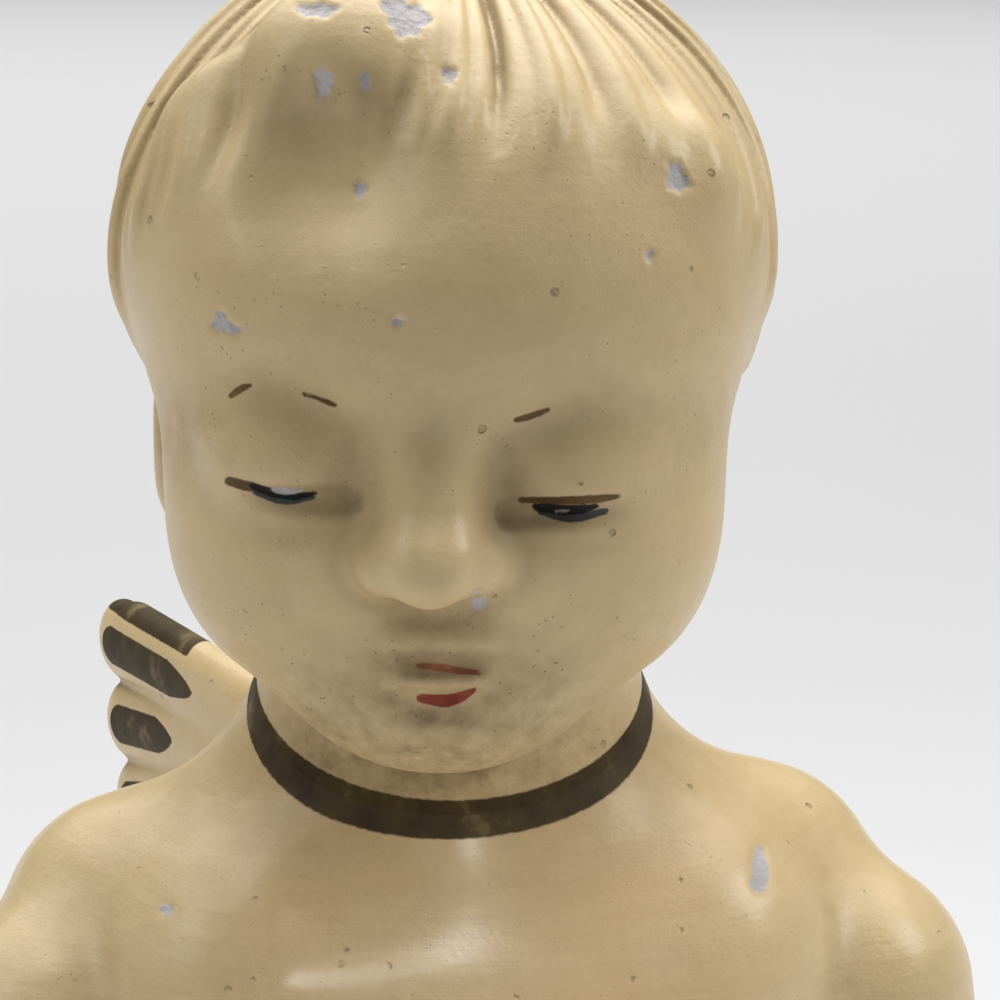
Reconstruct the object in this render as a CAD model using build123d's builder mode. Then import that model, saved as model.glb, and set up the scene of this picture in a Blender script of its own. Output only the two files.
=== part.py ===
"""Plaster (chalkware) figure of a kneeling winged child, cast in hollow halves and joined.

Millimetres, +Z up, the figure faces -Y, the origin is the middle of the felt's underside.
"""

import math
import os

import numpy as np
from build123d import *

# Base and walls
FELT_THICKNESS = 2.0
FELT_INSET = 2.5
FLOOR_THICKNESS = 8.0
WALL = 7.0
POUR_HOLE_RADIUS = 15.0
SEAM_Y = 6.0

# Fits
SOCKET_FIT = 0.2
PIN_FIT = 0.1
SCRIM_GAP = 0.7

# Collar joint between head and gown
COLLAR_Y = 6.0
COLLAR_Z = 171.5
COLLAR_TILT = 22.0
COLLAR_TURN = -4.5

# Head pose, from the collar joint to the middle of the head
HEAD_SIDE = -2.5
HEAD_FORWARD = 15.0
HEAD_RISE = 41.0
HEAD_BOW = 9.0
HEAD_TURN = -9.0

# Head form, in the head's own axes
HEAD_WIDTH = 64.0
HEAD_DEPTH = 68.0
CROWN_RISE = 36.0
CRANIUM_HEIGHT = 56.6
CRANIUM_BACK = 3.0
HAIR_RISE = 0.9
HAIR_LOCKS = 17
LOCK_DEPTH = 0.45
HAIRLINE_ANGLES = (0.0, 30.0, 50.0, 65.0, 78.0, 90.0, 110.0, 180.0)
HAIRLINE_HEIGHTS = (23.0, 22.0, 14.0, 5.0, -4.0, -14.0, -28.0, -31.0)
FACE_WIDTH = 51.0
FACE_FRONT = 32.5
CHIN_DROP = 38.2
CHEEK_SPREAD = 12.6
CHEEK_RADIUS = 13.0
NOSE_LENGTH = 11.0
NOSE_TIP = 39.5
EYE_SPREAD = 13.2
EYE_DROP = 6.0
LID_RADIUS = 7.3
MOUTH_DROP = 23.0
MOUTH_WIDTH = 8.0
LIP_RADIUS = 1.7
EAR_SPREAD = 28.8
EAR_HEIGHT = 18.0
EAR_DROP = 15.0

# Neck and shoulders
NECK_LOW_RADIUS = 22.0
NECK_HIGH_RADIUS = 18.0
NECK_LOW_DROP = 21.5
YOKE_SPREAD = 34.0
YOKE_DROP = 30.5
YOKE_RADIUS = 14.0
SLOPE_TOP_DROP = 15.5
SLOPE_TOP_RADIUS = 10.0
SLOPE_END_DROP = 28.0
SLOPE_END_RADIUS = 13.0
CHEST_SPREAD = 20.0
CHEST_DROP = 31.5
CHEST_RADIUS = 20.0

# Arms and sleeves
SHOULDER_SPREAD = 42.0
SHOULDER_DROP = 37.5
ARM_RADIUS = 15.0
ELBOW_SPREAD = 46.0
ELBOW_HEIGHT = 104.0
ELBOW_RADIUS = 13.0
WRIST_SPREAD = 10.0
WRIST_FORWARD = 40.0
WRIST_HEIGHT = 110.0
CUFF_RADIUS = 10.5
SLEEVE_HANG = 24.0

# Gown
BELLY_HEIGHT = 100.0
BELLY_HALF_WIDTH = 40.0
BELLY_HALF_DEPTH = 34.0
HEM_HALF_WIDTH = 53.0
HEM_HALF_DEPTH = 47.0
TRAIN_LENGTH = 82.0
TRAIN_HEIGHT = 30.0
FOLD_COUNT = 13
FOLD_DEPTH = 1.6

# Wings
WING_SPAN = 58.0
WING_SWEEP = 21.0
WING_ROOT_SPREAD = 14.0
WING_ROOT_Y = 30.0
WING_ROOT_Z = 136.0
WING_RISE = 20.0
WING_THICKNESS = 6.4
FEATHER_COUNT = 9
FEATHER_PITCH = 4.6
FEATHER_TURN = 7.5
FEATHER_SHORTENING = 1.4
FEATHER_RADIUS = 5.4
TENON_WIDTH = 6.0
TENON_HEIGHT = 18.0
TENON_LENGTH = 6.0

# Wires and dowel
WIRE_RADIUS = 1.2
WING_PIN_LENGTH = 26.0
WING_PIN_PITCH = 9.0
HANDS_PIN_LENGTH = 24.0
DOWEL_RADIUS = 6.0
DOWEL_LENGTH = 40.0

# Hands
HANDS_LEAN = 30.0
HANDS_TENON_RADIUS = 6.0
HANDS_TENON_LENGTH = 9.0
PALM_LENGTH = 22.0
PALM_WIDTH = 19.0
PALM_THICKNESS = 6.8
FINGER_RADIUS = 2.7
FINGER_LENGTH = 20.0
THUMB_RADIUS = 2.9

# Reinforcing strips over the inside of the seams
SCRIM_WIDTH = 12.0
SCRIM_THICKNESS = 1.4

BASE_Z = FELT_THICKNESS
COLLAR = np.array([0.0, COLLAR_Y, COLLAR_Z])


def turn(z_degrees, x_degrees):
    """Rotation that first tips about X, then turns about Z."""
    z = math.radians(z_degrees)
    x = math.radians(x_degrees)
    about_z = np.array([[math.cos(z), -math.sin(z), 0], [math.sin(z), math.cos(z), 0], [0, 0, 1]])
    about_x = np.array([[1, 0, 0], [0, math.cos(x), -math.sin(x)], [0, math.sin(x), math.cos(x)]])
    return about_z @ about_x


HEAD_AXES = turn(HEAD_TURN, HEAD_BOW)
HEAD_CENTRE = COLLAR + np.array([HEAD_SIDE, -HEAD_FORWARD, HEAD_RISE])
HEAD_PLANE = Plane(tuple(HEAD_CENTRE), x_dir=tuple(HEAD_AXES[:, 0]), z_dir=tuple(HEAD_AXES[:, 2]))
COLLAR_AXES = turn(COLLAR_TURN, COLLAR_TILT)
COLLAR_PLANE = Plane(tuple(COLLAR), x_dir=tuple(COLLAR_AXES[:, 0]), z_dir=tuple(COLLAR_AXES[:, 2]))
HEAD_SEAM = Plane(HEAD_PLANE.from_local_coords((0, CRANIUM_BACK, 0)), x_dir=HEAD_PLANE.x_dir,
                  z_dir=HEAD_PLANE.y_dir)
BODY_SEAM = Plane((0, SEAM_Y, 0), x_dir=(1, 0, 0), z_dir=(0, 1, 0))


def ellipsoid(p, centre, radii):
    """Near distance to an ellipsoid, negative inside."""
    q = (p - np.array(centre)) / np.array(radii)
    length = np.linalg.norm(q, axis=-1)
    slope = np.linalg.norm(q / np.array(radii), axis=-1)
    return length * (length - 1.0) / np.maximum(slope, 1e-6)


def capsule(p, start, end, start_radius, end_radius):
    """Distance to a round bar that tapers from one radius to another."""
    start = np.array(start, dtype=float)
    axis = np.array(end, dtype=float) - start
    share = np.clip(((p - start) @ axis) / (axis @ axis), 0.0, 1.0)
    middle = start + share[..., None] * axis
    return np.linalg.norm(p - middle, axis=-1) - (start_radius + share * (end_radius - start_radius))


def join(a, b, soft):
    """Union with a soft fillet."""
    h = np.clip(0.5 + 0.5 * (b - a) / soft, 0.0, 1.0)
    return b + (a - b) * h - soft * h * (1.0 - h)


def carve(a, b, soft):
    """Takes b away from a with a soft edge."""
    return -join(-a, b, soft)


def step(value):
    """Smooth step from 0 to 1."""
    t = np.clip(value, 0.0, 1.0)
    return t * t * (3.0 - 2.0 * t)


def mirrored(p):
    """The same points with both sides folded onto +X."""
    q = p.copy()
    q[..., 0] = np.abs(q[..., 0])
    return q


NECK_LOW = COLLAR + np.array([0.0, 2.5, -NECK_LOW_DROP])
NECK_HIGH = HEAD_CENTRE + HEAD_AXES @ np.array([0.0, 6.0, -18.0])


def neck_field(p):
    """The neck in the figure's axes, shared by head and gown."""
    return capsule(p, NECK_LOW, NECK_HIGH, NECK_LOW_RADIUS, NECK_HIGH_RADIUS)


def head_field(p):
    """Child's head in its own axes: cranium, face, nose, lids, lips, ears, hair and neck."""
    side = mirrored(p)
    half = CRANIUM_HEIGHT / 2
    cranium_z = CROWN_RISE - half - HAIR_RISE
    face_z = -12.0
    d = ellipsoid(p, (0, CRANIUM_BACK, cranium_z), (HEAD_WIDTH / 2 - HAIR_RISE, HEAD_DEPTH / 2, half))
    face = ellipsoid(p, (0, 24.5 - FACE_FRONT, face_z), (FACE_WIDTH / 2, 24.5, CHIN_DROP + face_z - 1.7))
    d = join(d, face, 14.0)
    d = join(d, ellipsoid(p, (0, -11.0, 9.0), (26.0, 20.0, 17.0)), 10.0)
    cheek_y = 15.5 - FACE_FRONT
    d = join(d, ellipsoid(side, (CHEEK_SPREAD, cheek_y, face_z - 6.0), (CHEEK_RADIUS,) * 3), 9.0)
    d = join(d, ellipsoid(p, (0, 8.9 - FACE_FRONT, 8.2 - CHIN_DROP), (12.0, 8.0, 8.2)), 8.0)
    socket_z = 2.0 - EYE_DROP
    d = carve(d, ellipsoid(side, (EYE_SPREAD, -FACE_FRONT - 5.0, socket_z), (11.0, 7.5, 6.6)), 6.0)
    lid = ellipsoid(side, (EYE_SPREAD, LID_RADIUS - FACE_FRONT + 0.8, 0.6 - EYE_DROP),
                    (8.6, LID_RADIUS, LID_RADIUS - 0.3))
    d = join(d, lid, 2.2)
    bridge_z = 5.0 - EYE_DROP
    tip_z = bridge_z - NOSE_LENGTH
    d = join(d, capsule(p, (0, 3.2 - FACE_FRONT, bridge_z), (0, 4.4 - NOSE_TIP, tip_z), 3.0, 4.4), 4.0)
    d = join(d, ellipsoid(side, (4.4, 7.0 - NOSE_TIP, tip_z - 1.0), (3.0, 3.6, 2.8)), 2.0)
    mouth = (MOUTH_WIDTH / 2, LIP_RADIUS - FACE_FRONT - 0.4)
    d = join(d, capsule(p, (-mouth[0], mouth[1] + 0.8, 1.6 - MOUTH_DROP),
                        (mouth[0], mouth[1] + 0.8, 1.6 - MOUTH_DROP), LIP_RADIUS, LIP_RADIUS), 1.4)
    d = join(d, capsule(p, (-mouth[0] * 0.7, mouth[1], -1.9 - MOUTH_DROP),
                        (mouth[0] * 0.7, mouth[1], -1.9 - MOUTH_DROP), LIP_RADIUS, LIP_RADIUS), 1.4)
    around = np.arctan2(p[..., 0], -(p[..., 1] - CRANIUM_BACK))
    hairline = np.interp(np.degrees(np.abs(around)), HAIRLINE_ANGLES, HAIRLINE_HEIGHTS)
    hair = step((p[..., 2] - hairline) / 11.0 + 0.5)
    locks = np.cos(HAIR_LOCKS * around + 0.6 * np.sin(3.0 * around))
    fade = step((CROWN_RISE - p[..., 2]) / 14.0)
    d = d - hair * (HAIR_RISE + LOCK_DEPTH * locks * fade)
    ear = ellipsoid(side, (EAR_SPREAD - 2.8, CRANIUM_BACK + 1.0, -EAR_DROP), (2.8, 6.0, EAR_HEIGHT / 2))
    d = join(d, ear, 2.0)
    figure = HEAD_CENTRE + p @ HEAD_AXES.T
    return join(d, neck_field(figure), 5.0)


def torso_field(p):
    """Neck, shoulders, chest, belly and skirt in the figure's axes, without knees or train."""
    side = mirrored(p)
    d = neck_field(p)
    d = join(d, capsule(side, (0, 10, COLLAR_Z - YOKE_DROP), (YOKE_SPREAD, 10, COLLAR_Z - YOKE_DROP),
                        YOKE_RADIUS, YOKE_RADIUS), 12.0)
    d = join(d, capsule(side, (10, 9, COLLAR_Z - SLOPE_TOP_DROP), (YOKE_SPREAD, 9, COLLAR_Z - SLOPE_END_DROP),
                        SLOPE_TOP_RADIUS, SLOPE_END_RADIUS), 6.0)
    chest_z = COLLAR_Z - CHEST_DROP
    d = join(d, capsule(side, (0, -4, chest_z), (CHEST_SPREAD, -4, chest_z), CHEST_RADIUS, CHEST_RADIUS), 8.0)
    d = join(d, ellipsoid(p, (0, 6, 126), (37, 29, 38)), 8.0)
    d = join(d, ellipsoid(p, (0, 2, BELLY_HEIGHT), (BELLY_HALF_WIDTH, BELLY_HALF_DEPTH, 40)), 10.0)
    rise = np.clip(1.0 - (p[..., 2] - BASE_Z) / (BELLY_HEIGHT - BASE_Z), 0.0, 1.0)
    width = BELLY_HALF_WIDTH + (HEM_HALF_WIDTH - BELLY_HALF_WIDTH) * rise
    depth = BELLY_HALF_DEPTH + (HEM_HALF_DEPTH - BELLY_HALF_DEPTH) * rise
    above = np.maximum(p[..., 2] - BELLY_HEIGHT, 0.0) / BELLY_HALF_DEPTH
    reach = np.sqrt((p[..., 0] / width) ** 2 + ((p[..., 1] - 2.0) / depth) ** 2 + above ** 2)
    return join(d, (reach - 1.0) * np.minimum(width, depth), 10.0)


def trunk_field(p):
    """The torso with the knees under the skirt and the train over the feet."""
    d = join(torso_field(p), ellipsoid(mirrored(p), (19, -30, 12), (18, 18.5, 24)), 10.0)
    return join(d, ellipsoid(p, (0, TRAIN_LENGTH - 42, 0), (44, 42, TRAIN_HEIGHT)), 16.0)


def body_field(p):
    """The whole gown: trunk with folds, arms and hanging sleeves."""
    side = mirrored(p)
    d = trunk_field(p)
    around = np.arctan2(p[..., 0], -p[..., 1])
    drop = step((92.0 - p[..., 2]) / 80.0)
    d = d - FOLD_DEPTH * drop * np.cos(FOLD_COUNT * around + 1.1 * np.sin(2.0 * around))
    shoulder = (SHOULDER_SPREAD, 0, COLLAR_Z - SHOULDER_DROP)
    elbow = (ELBOW_SPREAD, -8, ELBOW_HEIGHT)
    wrist = (WRIST_SPREAD, -WRIST_FORWARD, WRIST_HEIGHT)
    d = join(d, capsule(side, shoulder, elbow, ARM_RADIUS, ELBOW_RADIUS), 4.0)
    sleeve = capsule(side, elbow, wrist, ELBOW_RADIUS, CUFF_RADIUS)
    hang = capsule(side, (ELBOW_SPREAD - 1, -8, ELBOW_HEIGHT - 12), (WRIST_SPREAD + 8, 5 - WRIST_FORWARD,
                                                                  WRIST_HEIGHT - SLEEVE_HANG), 12.0, 8.0)
    sleeve = join(sleeve, hang, 6.0)
    meet = ellipsoid(p, (0, 2.0 - WRIST_FORWARD, WRIST_HEIGHT - 3.0), (WRIST_SPREAD + 2.0, 10.0, CUFF_RADIUS))
    sleeve = join(sleeve, meet, 6.0)
    return join(d, sleeve, 6.0)


def outline(field, centre, height, count, crowd, reach, depth):
    """Closed outline of a field at one height, walked round from the front, as (x, y) points."""
    around = np.linspace(0.0, 2.0 * math.pi, count, endpoint=False)
    around = around - crowd * np.sin(around)
    way = np.stack([np.sin(around), -np.cos(around)], axis=-1)

    def level(radius):
        flat = np.array(centre) + radius[..., None] * way
        return field(np.concatenate([flat, np.full(flat.shape[:-1] + (1,), float(height))], axis=-1)) + depth

    steps = np.linspace(0.0, reach, 141)
    inside = np.stack([level(np.full(count, r)) < 0.0 for r in steps])
    last = len(steps) - 1 - np.argmax(inside[::-1], axis=0)
    low = steps[last]
    high = low + steps[1]
    for _ in range(24):
        middle = (low + high) / 2.0
        within = level(middle) < 0.0
        low = np.where(within, middle, low)
        high = np.where(within, high, middle)
    return [tuple(q) for q in np.array(centre) + low[:, None] * way]


def closed_spline(points):
    """Closed curve with one even parameter step from point to point, so that sections match."""
    steps = [i / len(points) for i in range(len(points) + 1)]
    return Edge.make_spline([Vector(x, y, 0) for x, y in points], periodic=True, parameters=steps)


def spread(low, high, count):
    """Even heights from low to high, both included."""
    return [low + (high - low) * i / (count - 1) for i in range(count)]


HEAD_LOW = -66.0
CROWN_CAP = 0.4
head_heights = spread(HEAD_LOW, -40.0, 8) + spread(-37.0, 3.0, 21) + spread(6.0, 24.0, 6)
head_heights += [CROWN_RISE - rest for rest in (9.0, 6.5, 4.3, 2.6, 1.3, CROWN_CAP)]
body_heights = spread(BASE_Z, 78.0, 9) + spread(84.0, 126.0, 12) + spread(131.0, COLLAR_Z + 16.0, 13)

# Whole outsides, kept as templates for the halves and for what sits against them
with BuildPart() as head_outside:
    for height in head_heights:
        with BuildSketch(HEAD_PLANE.offset(height)):
            with BuildLine():
                add(closed_spline(outline(head_field, (0, CRANIUM_BACK), height, 88, 0.42, 60.0, 0.0)))
            make_face()
    loft()
    split(bisect_by=COLLAR_PLANE, keep=Keep.TOP)

with BuildPart() as body_outside:
    for height in body_heights:
        with BuildSketch(Plane.XY.offset(height)):
            with BuildLine():
                add(closed_spline(outline(body_field, (0, COLLAR_Y), height, 84, 0.2, 110.0, 0.0)))
            make_face()
    loft()
    split(bisect_by=COLLAR_PLANE, keep=Keep.BOTTOM)

# Hollows: plain smooth ovals, at least one wall in from the outside
HEAD_HOLLOW = spread(-16.0, CROWN_RISE - WALL - 2.5, 8)
BODY_HOLLOW = spread(BASE_Z + FLOOR_THICKNESS, COLLAR_Z - 36.0, 8)


def hollow_oval(field, centre, height, inset):
    """Middle and half sizes of the oval that keeps the inset from a field's front, back and side."""
    ring = outline(field, centre, height, 4, 0.0, 110.0, 0.0)
    front, side, back = ring[0][1], ring[1][0], ring[2][1]
    return (front + back) / 2, side - centre[0] - inset, (back - front) / 2 - inset


with BuildPart() as head_hollow:
    for height in HEAD_HOLLOW:
        middle, half_width, half_depth = hollow_oval(head_field, (0, CRANIUM_BACK), height, WALL)
        with BuildSketch(HEAD_PLANE.offset(height)):
            with Locations((0, middle)):
                Ellipse(half_width, half_depth)
    loft()

with BuildPart() as body_hollow:
    for height in BODY_HOLLOW:
        middle, half_width, half_depth = hollow_oval(torso_field, (0, COLLAR_Y), height, WALL)
        with BuildSketch(Plane.XY.offset(height)):
            with Locations((0, middle)):
                Ellipse(half_width, half_depth)
    loft()

# Neck dowel and its bore, square to the collar joint
with BuildPart() as neck_dowel:
    with BuildSketch(COLLAR_PLANE.offset(-DOWEL_LENGTH / 2)):
        Circle(DOWEL_RADIUS)
    extrude(amount=DOWEL_LENGTH)
    chamfer(neck_dowel.edges().filter_by(GeomType.CIRCLE), length=0.8)
neck_dowel.part.label = "neck_dowel"

with BuildPart() as dowel_bore:
    with BuildSketch(COLLAR_PLANE.offset(-DOWEL_LENGTH / 2 - SOCKET_FIT)):
        Circle(DOWEL_RADIUS + PIN_FIT)
    extrude(amount=DOWEL_LENGTH + 2 * SOCKET_FIT)

# Right wing: sections along the span, cut to the back it sits on
sweep = math.radians(WING_SWEEP)
WING_ROOT = (-WING_ROOT_SPREAD, WING_ROOT_Y, WING_ROOT_Z)
WING_PLANE = Plane(WING_ROOT, x_dir=(-math.cos(sweep), -math.sin(sweep), 0),
                   z_dir=(-math.sin(sweep), math.cos(sweep), 0))


def feather_axes():
    """Ends and end radii, (along, up), of the bars whose flattened union is the wing."""
    bars = [((2.0, WING_RISE - 2.0), (WING_SPAN - 10.0, WING_RISE + 0.5), 6.0, 4.4)]
    bars.append(((4.0, 12.0), (4.0, -12.0), 7.5, 6.5))
    for i in range(FEATHER_COUNT):
        angle = math.radians(-1.0 - FEATHER_TURN * i)
        reach = WING_SPAN - 11.0 - FEATHER_SHORTENING * i
        start = (6.0, WING_RISE - FEATHER_PITCH * i)
        end = (start[0] + reach * math.cos(angle), start[1] + reach * math.sin(angle))
        bars.append((start, end, FEATHER_RADIUS - 0.8, FEATHER_RADIUS))
    return bars


def wing_bulk(along, up):
    """Half thickness of the wing at one distance along its span and several heights."""
    spots = np.stack([np.full(len(up), along), up], axis=-1)
    bulk = np.zeros(len(up))
    for start, end, first, last in feather_axes():
        axis = np.array(end) - np.array(start)
        share = np.clip(((spots - np.array(start)) @ axis) / (axis @ axis), 0.0, 1.0)
        gap = np.linalg.norm(spots - np.array(start) - share[:, None] * axis, axis=-1)
        radius = first + share * (last - first)
        bulk = np.maximum(bulk, np.sqrt(np.maximum(radius ** 2 - gap ** 2, 0.0)))
    return bulk * WING_THICKNESS / 2 / FEATHER_RADIUS


def wing_section(along):
    """Closed (outward, up) points of the wing across its span, from its top edge to its feather tips."""
    heights = np.linspace(WING_RISE + 12.0, -80.0, 1841)
    filled = heights[wing_bulk(along, heights) > 0.0]
    top, low = filled[0], filled[-1]
    angle = np.linspace(0.0, 2.0 * math.pi, 36, endpoint=False)
    up = (top + low) / 2 + (top - low) / 2 * np.sin(angle)
    flank = np.abs(np.round(np.cos(angle), 9)) ** 0.5
    thin = 1.0 - 0.3 * along / WING_SPAN
    return list(zip(WING_THICKNESS / 2 * thin * flank * np.sign(np.round(np.cos(angle), 9)), up))


with BuildPart() as right_wing:
    for along in spread(-5.0, 0.0, 2) + spread(5.0, WING_SPAN - 1.0, 14):
        with BuildSketch(WING_PLANE.offset(along)):
            with BuildLine():
                add(closed_spline(wing_section(max(0.0, along))))
            make_face()
    loft()
    add(body_outside.part, mode=Mode.SUBTRACT)
    with BuildSketch(WING_PLANE.offset(-TENON_LENGTH)):
        Ellipse(TENON_WIDTH / 2, TENON_HEIGHT / 2)
    extrude(amount=TENON_LENGTH * 2)
    for pitch in (-WING_PIN_PITCH / 2, WING_PIN_PITCH / 2):
        with BuildSketch(WING_PLANE.offset(-WING_PIN_LENGTH / 2)):
            with Locations((0, pitch)):
                Circle(WIRE_RADIUS + PIN_FIT)
        extrude(amount=WING_PIN_LENGTH + SOCKET_FIT, mode=Mode.SUBTRACT)
right_wing.part.label = "right_wing"

with BuildPart() as right_wing_pins:
    for pitch in (-WING_PIN_PITCH / 2, WING_PIN_PITCH / 2):
        with BuildSketch(WING_PLANE.offset(-WING_PIN_LENGTH / 2)):
            with Locations((0, pitch)):
                Circle(WIRE_RADIUS)
        extrude(amount=WING_PIN_LENGTH)
right_wing_pins.part.label = "right_wing_pins"

with BuildPart() as left_wing:
    mirror(right_wing.part, about=Plane.YZ)
left_wing.part.label = "left_wing"

with BuildPart() as left_wing_pins:
    mirror(right_wing_pins.part, about=Plane.YZ)
left_wing_pins.part.label = "left_wing_pins"

with BuildPart() as wing_socket:
    with BuildSketch(WING_PLANE.offset(-TENON_LENGTH - SOCKET_FIT)):
        Ellipse(TENON_WIDTH / 2 + SOCKET_FIT, TENON_HEIGHT / 2 + SOCKET_FIT)
    extrude(amount=TENON_LENGTH * 2)
    for pitch in (-WING_PIN_PITCH / 2, WING_PIN_PITCH / 2):
        with BuildSketch(WING_PLANE.offset(-WING_PIN_LENGTH / 2 - SOCKET_FIT)):
            with Locations((0, pitch)):
                Circle(WIRE_RADIUS + PIN_FIT)
        extrude(amount=WING_PIN_LENGTH)

# Joined hands: palms, fingers and thumbs on one wrist tenon
lean = math.radians(HANDS_LEAN)
HANDS_ROOT = (0, -WRIST_FORWARD - 1.0, WRIST_HEIGHT + 4.0)
HANDS_PLANE = Plane(HANDS_ROOT, x_dir=(1, 0, 0), z_dir=(0, -math.sin(lean), math.cos(lean)))
FINGER_PITCH = (PALM_WIDTH - 2 * FINGER_RADIUS) / 3


def finger_plane(side, across, low, spread_angle):
    """Plane through a finger's axis, with its X along the finger."""
    start = HANDS_PLANE.from_local_coords((side * PALM_THICKNESS / 2, across, low))
    far = HANDS_PLANE.from_local_coords((side * PALM_THICKNESS / 2 * 0.82, across * spread_angle, low + 10.0))
    return Plane(start, x_dir=far - start, z_dir=HANDS_PLANE.x_dir)


fingers = []
for side in (-1, 1):
    for place, reach in enumerate((0.8, 0.95, 1.0, 0.86)):
        across = (place - 1.5) * FINGER_PITCH
        fingers.append((finger_plane(side, across, PALM_LENGTH - 4.0, 0.86), FINGER_LENGTH * reach + 4.0,
                        FINGER_RADIUS))
    fingers.append((finger_plane(side, PALM_WIDTH / 2 + 0.6, 5.0, 0.9), FINGER_LENGTH * 0.8, THUMB_RADIUS))

with BuildPart() as hands:
    for height, width, thick in ((-6.0, 0.72, 0.95), (4.0, 0.86, 1.0), (13.0, 1.0, 1.05), (PALM_LENGTH, 0.96, 0.9)):
        with BuildSketch(HANDS_PLANE.offset(height)):
            Ellipse(PALM_THICKNESS * thick * 1.08, PALM_WIDTH / 2 * width)
    loft()
    for plane, length, radius in fingers:
        with BuildSketch(plane):
            with BuildLine():
                Polyline((length - radius * 0.8, 0), (0, 0), (0, radius), (length - radius * 0.8, radius * 0.8))
                RadiusArc((length - radius * 0.8, radius * 0.8), (length, 0), radius * 0.8)
                Line((length, 0), (length - radius * 0.8, 0))
            make_face()
        revolve(axis=Axis(plane.origin, plane.x_dir))
    add(body_outside.part, mode=Mode.SUBTRACT)
    with BuildSketch(HANDS_PLANE.offset(-HANDS_TENON_LENGTH)):
        Circle(HANDS_TENON_RADIUS)
    extrude(amount=HANDS_TENON_LENGTH * 2)
    with BuildSketch(HANDS_PLANE.offset(-HANDS_PIN_LENGTH / 2)):
        Circle(WIRE_RADIUS + PIN_FIT)
    extrude(amount=HANDS_PIN_LENGTH + SOCKET_FIT, mode=Mode.SUBTRACT)
hands.part.label = "hands"

with BuildPart() as hands_pin:
    with BuildSketch(HANDS_PLANE.offset(-HANDS_PIN_LENGTH / 2)):
        Circle(WIRE_RADIUS)
    extrude(amount=HANDS_PIN_LENGTH)
hands_pin.part.label = "hands_pin"

with BuildPart() as hands_socket:
    with BuildSketch(HANDS_PLANE.offset(-HANDS_TENON_LENGTH - SOCKET_FIT)):
        Circle(HANDS_TENON_RADIUS + SOCKET_FIT)
    extrude(amount=HANDS_TENON_LENGTH * 3)
    with BuildSketch(HANDS_PLANE.offset(-HANDS_PIN_LENGTH / 2 - SOCKET_FIT)):
        Circle(WIRE_RADIUS + PIN_FIT)
    extrude(amount=HANDS_PIN_LENGTH)

# Head halves
with BuildPart() as head_front:
    add(head_outside.part)
    split(bisect_by=HEAD_SEAM, keep=Keep.BOTTOM)
    add(head_hollow.part, mode=Mode.SUBTRACT)
    add(dowel_bore.part, mode=Mode.SUBTRACT)
head_front.part.label = "head_front"

with BuildPart() as head_back:
    add(head_outside.part)
    split(bisect_by=HEAD_SEAM, keep=Keep.TOP)
    add(head_hollow.part, mode=Mode.SUBTRACT)
    add(dowel_bore.part, mode=Mode.SUBTRACT)
head_back.part.label = "head_back"

# Gown halves with the pour hole through the floor
with BuildPart() as pour_hole:
    with BuildSketch(Plane.XY.offset(BASE_Z - 1.0)):
        with Locations((0, SEAM_Y)):
            Circle(POUR_HOLE_RADIUS)
    extrude(amount=FLOOR_THICKNESS + 2.0)

with BuildPart() as body_front:
    add(body_outside.part)
    split(bisect_by=BODY_SEAM, keep=Keep.BOTTOM)
    add(body_hollow.part, mode=Mode.SUBTRACT)
    add(dowel_bore.part, mode=Mode.SUBTRACT)
    add(pour_hole.part, mode=Mode.SUBTRACT)
    add(hands_socket.part, mode=Mode.SUBTRACT)
body_front.part.label = "body_front"

with BuildPart() as body_back:
    add(body_outside.part)
    split(bisect_by=BODY_SEAM, keep=Keep.TOP)
    add(body_hollow.part, mode=Mode.SUBTRACT)
    add(dowel_bore.part, mode=Mode.SUBTRACT)
    add(pour_hole.part, mode=Mode.SUBTRACT)
    add(wing_socket.part, mode=Mode.SUBTRACT)
    mirror(wing_socket.part, about=Plane.YZ, mode=Mode.SUBTRACT)
body_back.part.label = "body_back"


def strip_curve(field, centre, heights, seam):
    """Points up one side of a hollow, where a flat strip over the seam just clears its wall."""
    points = []
    for height in heights:
        middle, half_width, half_depth = hollow_oval(field, centre, height, WALL)
        off = abs(seam - middle) + SCRIM_WIDTH / 2
        points.append((half_width * math.sqrt(1.0 - (off / half_depth) ** 2) - SCRIM_GAP, height))
    return points


# Jute strips, one up each side of each hollow
with BuildPart() as body_scrim:
    with BuildSketch(Plane((0, SEAM_Y - SCRIM_WIDTH / 2, 0), x_dir=(1, 0, 0), z_dir=(0, -1, 0))):
        with BuildLine():
            outer = strip_curve(torso_field, (0, COLLAR_Y), BODY_HOLLOW[1:-2], SEAM_Y)
            inner = [(x - SCRIM_THICKNESS, z) for x, z in outer]
            Spline(*outer)
            Line(outer[-1], inner[-1])
            Spline(*inner)
            Line(inner[0], outer[0])
        make_face()
    extrude(amount=-SCRIM_WIDTH)
    mirror(body_scrim.part, about=Plane.YZ)
body_scrim.part.label = "body_scrim"

with BuildPart() as head_scrim:
    with BuildSketch(HEAD_SEAM.offset(-SCRIM_WIDTH / 2)):
        with BuildLine():
            outer = strip_curve(head_field, (0, CRANIUM_BACK), HEAD_HOLLOW[1:-1], CRANIUM_BACK)
            outer = [(x, -z) for x, z in outer]
            inner = [(x - SCRIM_THICKNESS, z) for x, z in outer]
            Spline(*outer)
            Line(outer[-1], inner[-1])
            Spline(*inner)
            Line(inner[0], outer[0])
        make_face()
    extrude(amount=SCRIM_WIDTH)
    mirror(head_scrim.part, about=Plane(HEAD_PLANE.origin, x_dir=HEAD_PLANE.y_dir, z_dir=HEAD_PLANE.x_dir))
head_scrim.part.label = "head_scrim"

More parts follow.
